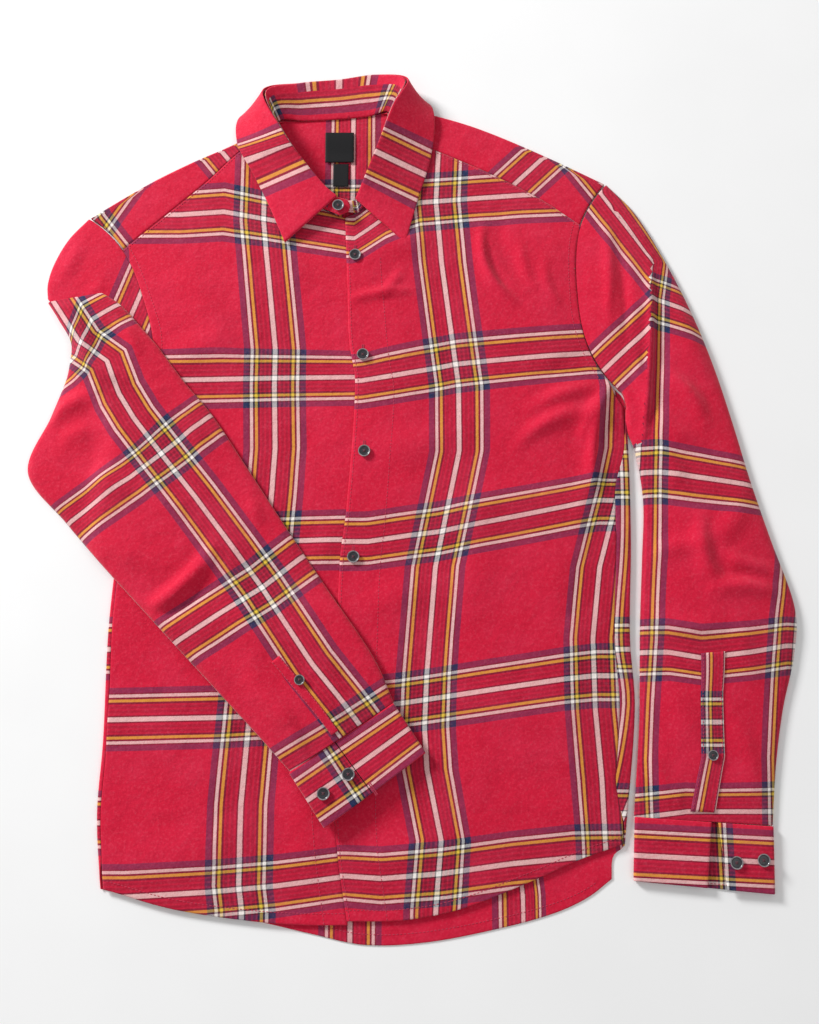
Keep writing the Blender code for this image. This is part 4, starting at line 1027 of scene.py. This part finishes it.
rightCap = {
    "sections": rightSleeveUpper, "support": onTable, "seed": 3.3, "across": 34,
    "check": lambda x, y: np.stack([(x - capCheck["place"][0]) * capCheck["normal"][0]
                                    + (y - capCheck["place"][1]) * capCheck["normal"][1],
                                    73 + (y - 220) * 0.25], axis=-1),
    "creases": creaseRows(
        (-306, 268, -326, 222, 6, 0.9, 3, 0.3), (-284, 226, -300, 200, 6, 0.8, 2, 0.2),
        (-262, 190, -282, 160, 6, 0.8, 3, 0.2))}

makeSleeve("left_sleeve_cloth", "left_sleeve", leftArm, 600.0, False,
           flat=(0.47, 0.63), held="laid", area=0.1231)
makeSleeve("right_sleeve_top_cloth", "right_sleeve_upper", rightCap, 110.0, True,
           flat=(0.39, 0.09), held="laid", area=0.0213)
makeSleeve("right_sleeve_folded_cloth", "right_sleeve_lower", rightArm, 520.0, True,
           flat=(0.33, 0.53), held="folded", rests_on=["left_front_cloth", "right_front_cloth"], area=0.1228)


def makePlacket(name, node, sleeve, strip, flat, area, check):
    share = np.linspace(strip["along"][0], strip["along"][-1], 56)
    start = np.interp(share, strip["along"], strip["fromOuter"])
    end = np.interp(share, strip["along"], strip["toOuter"])
    s = np.concatenate([[0, 0.03, 0.1], np.linspace(0.18, 0.82, 8), [0.9, 0.97, 1]])
    across = start[:, None] + (end - start)[:, None] * s[None]
    grid = sleevePlace(sleeve, share, across, np.ones((1, 1)))
    grid[..., 2] += cloth["wall"] + cloth["gap"] * 0.6
    grain = check(grid[..., 0], grid[..., 1], s)
    if np.cross(grid[0, 5] - grid[0, 0], grid[5, 0] - grid[0, 0])[2] < 0:
        grid, grain = grid[:, ::-1], grain[:, ::-1]
    sew(name, node, grid, grain,
        {"flat": flat, "held": "laid", "rests_on": [sleeve["clothName"]], "area": area})


makePlacket("left_sleeve_placket_cloth", "left_sleeve_placket", leftArm, leftPlacket, (0.022, 0.141),
            0.0027, lambda x, y, s: np.stack([np.broadcast_to(-26 + 25 * s, x.shape), y + 187], axis=-1))
makePlacket("right_sleeve_placket_cloth", "right_sleeve_placket", rightArm, rightPlacket, (0.0102, 0.082),
            0.0006, lambda x, y, s: np.stack([np.broadcast_to(60 + 10 * s, x.shape), y + 90], axis=-1))
print("sleeves laid")


leftCuff = {"seamOuter": (310, -276), "seamInner": (192, -268), "hemOuter": (308, -330),
            "hemInner": (189, -319), "slitSeam": (0.4, 0.45), "slitHem": (0.34, 0.48), "low": 0.9}
rightCuff = {"seamOuter": (-102, -231), "seamInner": (-13, -172), "hemOuter": (-72, -276),
             "hemInner": (14, -213), "slitSeam": (0.435, 0.442), "slitHem": (0.465, 0.472), "low": 9.7}
cuffTurn, cuffDepth, cuffPitch = 1.9, 54.0, 2.6
plain = cloth["repeat"] / 2   # a place in the check between two bands


def cuffFlat(cuff, down, across):
    # points on a flat cuff between its four corners
    seamO, seamI, hemO, hemI = (np.array(cuff[k], float) for k in
                                ("seamOuter", "seamInner", "hemOuter", "hemInner"))
    across, down = across[..., None], down[..., None]
    seam, hem = seamO + (seamI - seamO) * across, hemO + (hemI - hemO) * across
    return seam + (hem - seam) * down


def makeCuff(name, node, cuff, flip, check, second, flat, area, sleeveName):
    # second is another check and where on the upper side it shows
    low, high = cuff["low"], cuff["low"] + 2 * cuffTurn
    width = math.dist(cuff["seamOuter"], cuff["seamInner"])
    bend = (cuffTurn + 0.5 * cloth["cuff"]) / width
    down = steps(cuffDepth, cuffPitch, -1.6, 0.0)
    slit = [cuff["slitSeam"][i] + (cuff["slitHem"][i] - cuff["slitSeam"][i]) * down for i in (0, 1)]
    line = np.concatenate([[0, 0.012, 0.04], np.linspace(0.08, 1, 18)])
    angle = np.linspace(0, math.pi, 13)[1:-1]
    one, underside = np.ones((len(down), 1)), 40
    across = np.hstack([slit[0][:, None] * (1 - line) + bend * line,
                        one * (bend - (cuffTurn / width) * np.sin(angle)),
                        one * np.linspace(bend, 1 - bend, underside),
                        one * (1 - bend + (cuffTurn / width) * np.sin(angle)),
                        (1 - bend) * (line[::-1]) + slit[1][:, None] * (1 - line[::-1])])
    z = np.concatenate([np.full(len(line), high), low + cuffTurn * (1 + np.cos(angle)),
                        np.full(underside, low), low + cuffTurn * (1 - np.cos(angle)),
                        np.full(len(line), high)])[None] * one
    flatPlace = cuffFlat(cuff, down[:, None] * np.ones_like(across), across)
    x, y = flatPlace[..., 0], flatPlace[..., 1]
    top = ease((z - low - cuffTurn) / cuffTurn)
    z = z + top * ripple(x, y, 0.35, 2.7) * ease(across * (1 - across) / 0.06)
    grid = np.dstack([x, y, z])
    grain = check(x, y)
    other = (second[0](x, y), second[1](x, y)[:-1, :-1] & (z[:-1, :-1] > low + cuffTurn))
    if flip:
        grid, grain = grid[:, ::-1], grain[:, ::-1]
    sew(name, node, grid, grain, {"flat": flat, "held": "laid", "rests_on": [sleeveName], "area": area},
        cloth["cuff"], other=other)


def leftCuffWeft(x, y):
    return -(y + 301) - (x - 250) * 0.05


def rightCuffWeft(x, y):
    return (y * 0.828 - x * 0.563) + 160.4


makeCuff("left_cuff_cloth", "left_cuff", leftCuff, False,
         lambda x, y: np.stack([x - 248, leftCuffWeft(x, y)], axis=-1),
         (lambda x, y: np.stack([np.full_like(x, plain), leftCuffWeft(x, y)], axis=-1),
          lambda x, y: x < 256), (0.231, 0.054), 0.0119, "left_sleeve_cloth")
makeCuff("right_cuff_cloth", "right_cuff", rightCuff, True,
         lambda x, y: np.stack([(x * 0.828 + y * 0.563) + 159, rightCuffWeft(x, y)], axis=-1),
         (lambda x, y: np.stack([np.full_like(x, plain), rightCuffWeft(x, y)], axis=-1),
          lambda x, y: x * 0.828 + y * 0.563 < -162.5), (0.213, 0.054), 0.0109, "right_sleeve_folded_cloth")


# the ends of the stand, which overlap under the collar button
rightTab, leftTab = (-55, 286, 10.8, -57, 300, 11.4), (-72, 288, 6.6, -73, 299, 7.0)


def collarAt(share):
    # the neck seam, the top of the roll and the leaf's edge at shares of the collar
    section = sectionAt(collar, share)
    return [np.stack([section[part + axis] for axis in "XYZ"], axis=-1)
            for part in ("neck", "roll", "edge")] + [section["droop"]]


def toLeaf(share):
    # half the way from the stand over to the leaf, at the top of the roll
    neck, roll, edge, _ = collarAt(share)
    step = 0.5 / 12
    ahead, behind = collarAt(share + step)[1], collarAt(share - step)[1]
    legs = [(side - roll) / np.linalg.norm(side - roll, axis=-1, keepdims=True) for side in (neck, edge)]
    apart = np.cross(ahead - behind, legs[0] + legs[1])
    return apart / np.linalg.norm(apart, axis=-1, keepdims=True) * 0.5 * body["rollGap"]


def makeCollar():
    share = np.linspace(0, 1, 170)
    neck, roll, edge, droop = collarAt(share)
    apart = toLeaf(share)
    t = np.concatenate([[-0.06, -0.03], np.linspace(0.05, 0.92, 14), [0.95, 0.97]])[None, :, None]
    stand = neck[:, None] + (roll - neck)[:, None] * t - apart[:, None] * t
    tabs = []
    for tab, end in ((rightTab, stand[0]), (leftTab, stand[-1])):
        s = np.linspace(0.12, 0.88, t.shape[1])[:, None]
        last = np.array(tab[:3]) * (1 - s) + np.array(tab[3:]) * s
        tabs.append([end + (last - end) * k for k in np.linspace(1, 0, 7)[:-1]])
    round_ = np.abs(np.linspace(-1, 1, t.shape[1]))[:, None]**3
    tabs[0][0] += np.array((-3.2, 0, 0)) * round_
    stand = np.concatenate([np.array(tabs[0]), stand, np.array(tabs[1])[::-1]])
    arc = np.append(0, np.cumsum(np.linalg.norm(np.diff(stand[:, 8], axis=0), axis=1)))
    bandRow = 6 + 169 * 0.68   # where a band crosses the stand
    start = arc[int(bandRow)]
    u = np.interp(np.arange(len(arc)), [0, bandRow, len(arc) - 1], [-start, 0, arc[-1] - start])
    height = np.linspace(0, 34, t.shape[1])
    wide = np.broadcast_to(u[:, None], stand.shape[:2])
    grain = np.dstack([wide, np.broadcast_to(height[None] - 32, stand.shape[:2])])
    # the tabs are plain, and the top of the roll shows the leaf's own check
    index, column = np.indices((stand.shape[0] - 1, stand.shape[1] - 1))
    repeat, place = cloth["repeat"], np.arange(len(u))
    onLeaf = np.interp(place, [6, 6 + 84.5, 175], [-repeat, 0, repeat])
    onLeaf = np.where(place < 20, plain, onLeaf)
    other = (np.dstack([np.broadcast_to(onLeaf[:, None], wide.shape),
                        np.broadcast_to(60 + height[None], wide.shape)]),
             (index < 12) | (index > 175) | ((column > 11) & (index > 50) & (index < 130)))
    sew("collar_stand_cloth", "collar_stand", stand, grain,
        {"flat": (0.437, 0.04), "held": "folded", "rests_on": ["yoke_cloth"], "area": 0.009},
        cloth["stiff"], other=other)
    t = np.concatenate([[0, 0.01], np.linspace(0.04, 0.95, 24), [0.975, 0.99, 1]])
    top = roll + apart
    leaf = top[:, None] + (edge - top)[:, None] * t[None, :, None]
    leaf[..., 2] = edge[:, None, 2] + (top - edge)[:, None, 2] * (1 - t)[None]**droop[:, None]
    leaf[..., 2] += ripple(leaf[..., 0], leaf[..., 1], 0.25, 5.1) * ease(t / 0.3)[None]
    u = np.interp(share * 12, [0, 2.5, 6, 10.35, 12], [-repeat - 55, -repeat, 0, repeat, repeat + 50])
    v = plain + (t - 0.5) * 50
    slant = np.interp(share * 12, [0, 3, 6, 9, 12], [0.0, 0.1, 0, -0.1, 0.0])[:, None] * (t - 0.5)[None] * 60
    grain = np.dstack([u[:, None] + slant, np.broadcast_to(v[None], leaf.shape[:2])])
    sew("collar_leaf_cloth", "collar_leaf", leaf, grain,
        {"flat": (0.484, 0.066), "held": "folded", "rests_on": ["collar_stand_cloth"], "area": 0.0199},
        cloth["stiff"])


makeCollar()


labels = {"neck_label": {"x": (-81, -53), "y": (341, 372), "flat": (0.027, 0.030)},
          "size_label": {"x": (-73, -58), "y": (316, 340), "flat": (0.015, 0.024)}}
for name, label in labels.items():
    y = label["y"][0] + (label["y"][1] - label["y"][0]) * steps(30, 1.5)
    x = label["x"][0] + (label["x"][1] - label["x"][0]) * steps(28, 1.8)
    x, y = np.meshgrid(x, y)
    lift = 0.5 * cloth["wall"] + 1.0 + 0.5 * ease((label["y"][1] - y) / 20)
    grid = np.dstack([x, y, cloth["lower"] + neckLift(x, y) + lift + ripple(x, y, 0.2, 1.1)])
    piece = clothShell(name + "_satin", grid, np.dstack([x, y]), 1.0, labelFinish,
                       slot="black_label_satin")
    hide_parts(name)
print("cuffs, collar and labels made")


button = {"radius": 5.6, "height": 2.4, "sides": 36, "rim": 0.85, "shoulder": 0.7, "dish": 0.75,
          "well": 1.2, "sink": 0.1, "foot": 0.82, "round": 0.38, "holes": 0.62, "spread": 1.15,
          "small": 4.6 / 5.6}
frontButtons = ((-51, 245), (-43, 147), (-41, 55), (-50, -42), (-52, -133), (-54, -223))
buttonPlaces = {}
for number, (x, y) in enumerate(frontButtons, 1):
    z = float(leftFrontHeight(np.array([[float(x)]]), np.array([[float(y)]]))[0, 0])
    buttonPlaces[f"front_button_{number}"] = (x, y, z + 0.5 * cloth["wall"] + 0.2, 1.0)
buttonPlaces["collar_button"] = (-67, 291.5, 10.8 + 0.75 + 1.6, 1.0)
cuffSeat = 2 * cuffTurn + 0.5 * cloth["cuff"] + 0.35
for name, places, cuff in (("left_cuff_button_", ((276, -304), (299, -302)), leftCuff),
                           ("right_cuff_button_", ((-52, -231), (-73, -247)), rightCuff)):
    for number, (x, y) in enumerate(places, 1):
        buttonPlaces[name + str(number)] = (x, y, cuff["low"] + cuffSeat, 1.0)
for name, sleeve, share, across in (("left_placket_button", leftArm, 0.897, 0.475),
                                    ("right_placket_button", rightArm, 0.88, 0.475)):
    place = sleevePlace(sleeve, np.array([share]), np.array([[across]]), np.ones((1, 1)))[0, 0]
    buttonPlaces[name] = (*place[:2], place[2] + cloth["wall"] * 1.5 + 0.4, button["small"])


def pick(mesh, test):
    # select the faces whose middle and direction pass the test
    shape = bmesh.from_edit_mesh(mesh)
    for face in shape.faces:
        face.select_set(bool(test(face.calc_center_median() * 1000, face.normal)))
    shape.select_flush_mode()
    bmesh.update_edit_mesh(mesh)


def modelButton():
    # a dished button with a rim and four holes, at the origin
    radius, height = button["radius"] / 1000, button["height"] / 1000
    bpy.ops.object.select_all(action="DESELECT")
    bpy.ops.mesh.primitive_cylinder_add(vertices=button["sides"], radius=radius, depth=height,
                                        location=(0, 0, height / 2))
    master = bpy.context.object
    bpy.ops.object.transform_apply(location=True)
    master.data.materials.append(resin)
    master.data.materials.append(rimResin)
    bpy.ops.object.mode_set(mode="EDIT")
    bpy.ops.mesh.select_mode(type="FACE")
    bpy.ops.mesh.select_all(action="DESELECT")
    pick(master.data, lambda p, n: n.z > 0.9)
    bpy.ops.mesh.inset(thickness=button["rim"] / 1000)
    bpy.ops.mesh.inset(thickness=button["shoulder"] / 1000)
    bpy.ops.transform.translate(value=(0, 0, -button["dish"] / 1000))
    bpy.ops.mesh.inset(thickness=button["well"] / 1000)
    bpy.ops.transform.translate(value=(0, 0, -button["sink"] / 1000))
    bpy.ops.mesh.select_all(action="DESELECT")
    pick(master.data, lambda p, n: n.z < -0.9)
    bpy.ops.transform.resize(value=(button["foot"], button["foot"], 1))
    bpy.ops.object.mode_set(mode="OBJECT")
    bevel = master.modifiers.new("edges", "BEVEL")
    bevel.width, bevel.segments, bevel.limit_method = button["round"] / 1000, 3, "ANGLE"
    bpy.ops.object.modifier_apply(modifier="edges")
    holes = []
    for k in range(4):
        angle, spread = math.radians(45 + 90 * k), button["spread"] / 1000
        bpy.ops.mesh.primitive_cylinder_add(vertices=14, radius=button["holes"] / 1000, depth=0.02,
                                            location=(spread * math.cos(angle), spread * math.sin(angle), 0))
        holes.append(bpy.context.object)
    bpy.ops.object.select_all(action="DESELECT")
    for hole in holes:
        hole.select_set(True)
    bpy.context.view_layer.objects.active = holes[0]
    bpy.ops.object.join()
    cutter = bpy.context.object
    bpy.ops.object.transform_apply(location=True)
    bpy.ops.object.select_all(action="DESELECT")
    master.select_set(True)
    bpy.context.view_layer.objects.active = master
    cut = master.modifiers.new("holes", "BOOLEAN")
    cut.operation, cut.object, cut.solver = "DIFFERENCE", cutter, "EXACT"
    bpy.ops.object.modifier_apply(modifier="holes")
    bpy.data.objects.remove(cutter, do_unlink=True)
    for face in master.data.polygons:
        reach = math.hypot(face.center.x, face.center.y) * 1000
        onRim = reach > button["radius"] - button["rim"] - 0.35 and face.center.z > height / 2
        face.material_index = int(onRim)
    bpy.ops.object.shade_smooth_by_angle(angle=math.radians(35))
    return master


master = modelButton()
crosses = []
for name, (x, y, z, scale) in buttonPlaces.items():
    mesh = master.data.copy()
    mesh.name = name + "_resin"
    points = np.empty(len(mesh.vertices) * 3, np.float32)
    mesh.vertices.foreach_get("co", points)
    place = (np.array((x, y, z)) - centre) / 1000
    mesh.vertices.foreach_set("co", (points.reshape(-1, 3) * scale + place).astype(np.float32).ravel())
    piece = bpy.data.objects.new(mesh.name, mesh)
    bpy.context.scene.collection.objects.link(piece)
    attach(piece, "root")
    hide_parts(name)
    reach, top = button["spread"] * scale, z + (button["height"] - button["dish"]) * scale
    for side in (1, -1):
        crosses.append([np.array((x + end * reach, y + end * reach * side, top - 0.25)) for end in (-1, 1)])
bpy.data.objects.remove(master, do_unlink=True)


def crossThreads():
    points, faces = [], []
    thread = {"wide": 0.42, "thick": 0.34, "arch": 0.45}
    for start, end in crosses:
        forward = end - start
        side = np.cross((0, 0, 1), forward)
        side = side / np.linalg.norm(side)
        rings = []
        for k in np.linspace(0, 1, 6):
            middle = start + forward * k + np.array((0, 0, thread["arch"] * math.sin(math.pi * k)))
            rings.append([middle + side * thread["wide"] * math.cos(j * math.pi / 3)
                          + np.array((0, 0, thread["thick"] * math.sin(j * math.pi / 3))) for j in range(6)])
        addBead(points, faces, rings)
    buildMesh("button_threads", np.array(points), faces, buttonThread)


crossThreads()
print("buttons made")


def seamPath(name, row=None, column=None, start=0.0, end=1.0):
    # a line over a piece at a fractional row or column, lifted onto its upper side
    grid, normal = made[name]
    wall = cloth["cuff"] if "cuff" in name else cloth["stiff"] if "collar" in name else cloth["wall"]
    count = grid.shape[1] if row is not None else grid.shape[0]
    place = np.linspace(start, end, 260) * (count - 1)
    i, j = (np.full_like(place, row), place) if row is not None else (place, np.full_like(place, column))
    i, j = np.clip(i, 0, grid.shape[0] - 1.001), np.clip(j, 0, grid.shape[1] - 1.001)
    i0, j0 = i.astype(int), j.astype(int)
    fi, fj = (i - i0)[:, None], (j - j0)[:, None]

    def sample(a):
        return (a[i0, j0] * (1 - fi) * (1 - fj) + a[i0 + 1, j0] * fi * (1 - fj)
                + a[i0, j0 + 1] * (1 - fi) * fj + a[i0 + 1, j0 + 1] * fi * fj)
    up = sample(normal)
    return sample(grid) + up * (wall / 2 + 0.02), up


def fromEdge(distance, pitch=3.0):
    # which row or column lies that far from a cut edge
    return float(np.interp(distance, [0.3, 0.8, 1.6, 1.6 + 40 * pitch], [0, 1, 2, 42]))


right, left = "right_front_cloth", "left_front_cloth"
lastColumn = made[right][0].shape[1] - 1
lastRow = made[right][0].shape[0] - 1
paths = [seamPath(left, column=fromEdge(31.0), start=0.0, end=0.80),
         seamPath(left, column=fromEdge(1.8), start=0.0, end=0.80),
         seamPath(left, row=fromEdge(8.0)), seamPath(left, row=lastRow - fromEdge(2.0)),
         seamPath(right, column=lastColumn - fromEdge(20.0), start=0.0, end=0.30),
         seamPath(right, row=fromEdge(8.0)), seamPath(right, row=lastRow - fromEdge(2.0)),
         seamPath(left, column=lastColumn - fromEdge(8.0), start=0.70, end=1.0),
         seamPath(right, column=fromEdge(8.0), start=0.70, end=1.0)]
stitches("front_stitches", paths, threadFinish)
backRow = fromEdge(8.0, 4.0)
stitches("back_stitches", [seamPath("back_panel_cloth", row=backRow, start=0.12, end=0.88)], threadFinish)
leafRows, leafColumns = made["collar_leaf_cloth"][0].shape[:2]
stitches("collar_stitches", [seamPath("collar_leaf_cloth", column=leafColumns - 5.4, start=0.03, end=0.97),
                             seamPath("collar_leaf_cloth", row=11, start=0.1, end=0.86),
                             seamPath("collar_leaf_cloth", row=leafRows - 12, start=0.1, end=0.86),
                             seamPath("collar_stand_cloth", column=2.2, start=0.02, end=0.98)], threadFinish)
cuffPaths = []
for name in ("left_cuff_cloth", "right_cuff_cloth"):
    total, wide = made[name][0].shape[:2]
    cuffPaths += [seamPath(name, row=fromEdge(3.0, cuffPitch), start=0.01, end=0.99),
                  seamPath(name, row=total - 1 - fromEdge(4.0, cuffPitch), start=0.01, end=0.99),
                  seamPath(name, column=3.0, start=0.05, end=0.95),
                  seamPath(name, column=wide - 4.0, start=0.05, end=0.95)]
stitches("cuff_stitches", cuffPaths, threadFinish)
placketPaths = []
for name in ("left_sleeve_placket_cloth", "right_sleeve_placket_cloth"):
    wide = made[name][0].shape[1]
    placketPaths += [seamPath(name, column=1.8), seamPath(name, column=wide - 2.8)]
stitches("placket_stitches", placketPaths, threadFinish)


def buttonhole(x, y, z, length, angle):
    # a row of close stitches on either side of a slit
    c, s = math.cos(angle), math.sin(angle)
    lines, apart, pitch = [], 0.75, 0.62
    up = np.tile((0.0, 0.0, 1.0), (2, 1))
    reach = np.array((-s, c, 0)) * pitch * 1.1
    for side in (-apart, apart):
        for place in np.arange(-length / 2, length / 2 + 0.1, pitch):
            middle = np.array((x + place * c - side * s, y + place * s + side * c, z))
            lines.append((np.array([middle - reach, middle + reach]), up))
    return lines


holes = []
for name, (x, y, z, scale) in buttonPlaces.items():
    if name.startswith("front"):
        holes += buttonhole(x, y + 3.2, z - 0.16, 14.0, math.radians(90))
cuffTop = 2 * cuffTurn + 0.95
holes += buttonhole(239.0, -303.0, leftCuff["low"] + cuffTop, 13.0, math.radians(3))
holes += buttonhole(-31.0, -243.0, rightCuff["low"] + cuffTop, 12.0, math.radians(-56))
stitches("buttonholes", holes, threadFinish, length=1.05, space=5.0, radius=0.3, lift=0.05)
print("stitches made")


bpy.ops.object.select_all(action="DESELECT")
bpy.ops.mesh.primitive_plane_add(size=6.0, location=(0, 0, 0))
floor = bpy.context.object
floor.name = "table"
floor.data.materials.append(tableTop())

light = {"sky": 0.42, "key": (-2.3, 1.9, 1.3), "keyPower": 130.0, "keySize": 0.7,
         "fill": (1.6, -0.9, 2.4), "fillPower": 9.0, "fillSize": 1.8}
world = bpy.data.worlds.new("studio")
bpy.context.scene.world = world
world.use_nodes = True
world.node_tree.nodes["Background"].inputs[0].default_value = (1.0, 1.0, 1.0, 1.0)
world.node_tree.nodes["Background"].inputs[1].default_value = light["sky"]


def softLamp(name, place, power, size):
    lamp = bpy.data.lights.new(name, "AREA")
    lamp.energy, lamp.size = power, size
    holder = bpy.data.objects.new(name, lamp)
    holder.location = place
    aim = -np.array(place)
    holder.rotation_euler = (math.atan2(math.hypot(aim[0], aim[1]), -aim[2]), 0,
                             math.atan2(aim[1], aim[0]) - math.pi / 2)
    bpy.context.scene.collection.objects.link(holder)


for name in ("key", "fill"):
    softLamp(name, light[name], light[name + "Power"], light[name + "Size"])
bpy.context.scene.view_settings.view_transform = "Standard"

view = {"place": (0.0027, -0.2596, 1.0760), "tilt": 12.0, "lens": 42.93, "sensor": 36.0}
camera = bpy.data.objects.new("camera", bpy.data.cameras.new("camera"))
camera.data.lens, camera.data.sensor_width = view["lens"], view["sensor"]
camera.location = view["place"]
camera.rotation_euler = (math.radians(view["tilt"]), 0, 0)
bpy.context.scene.collection.objects.link(camera)
bpy.context.scene.camera = camera
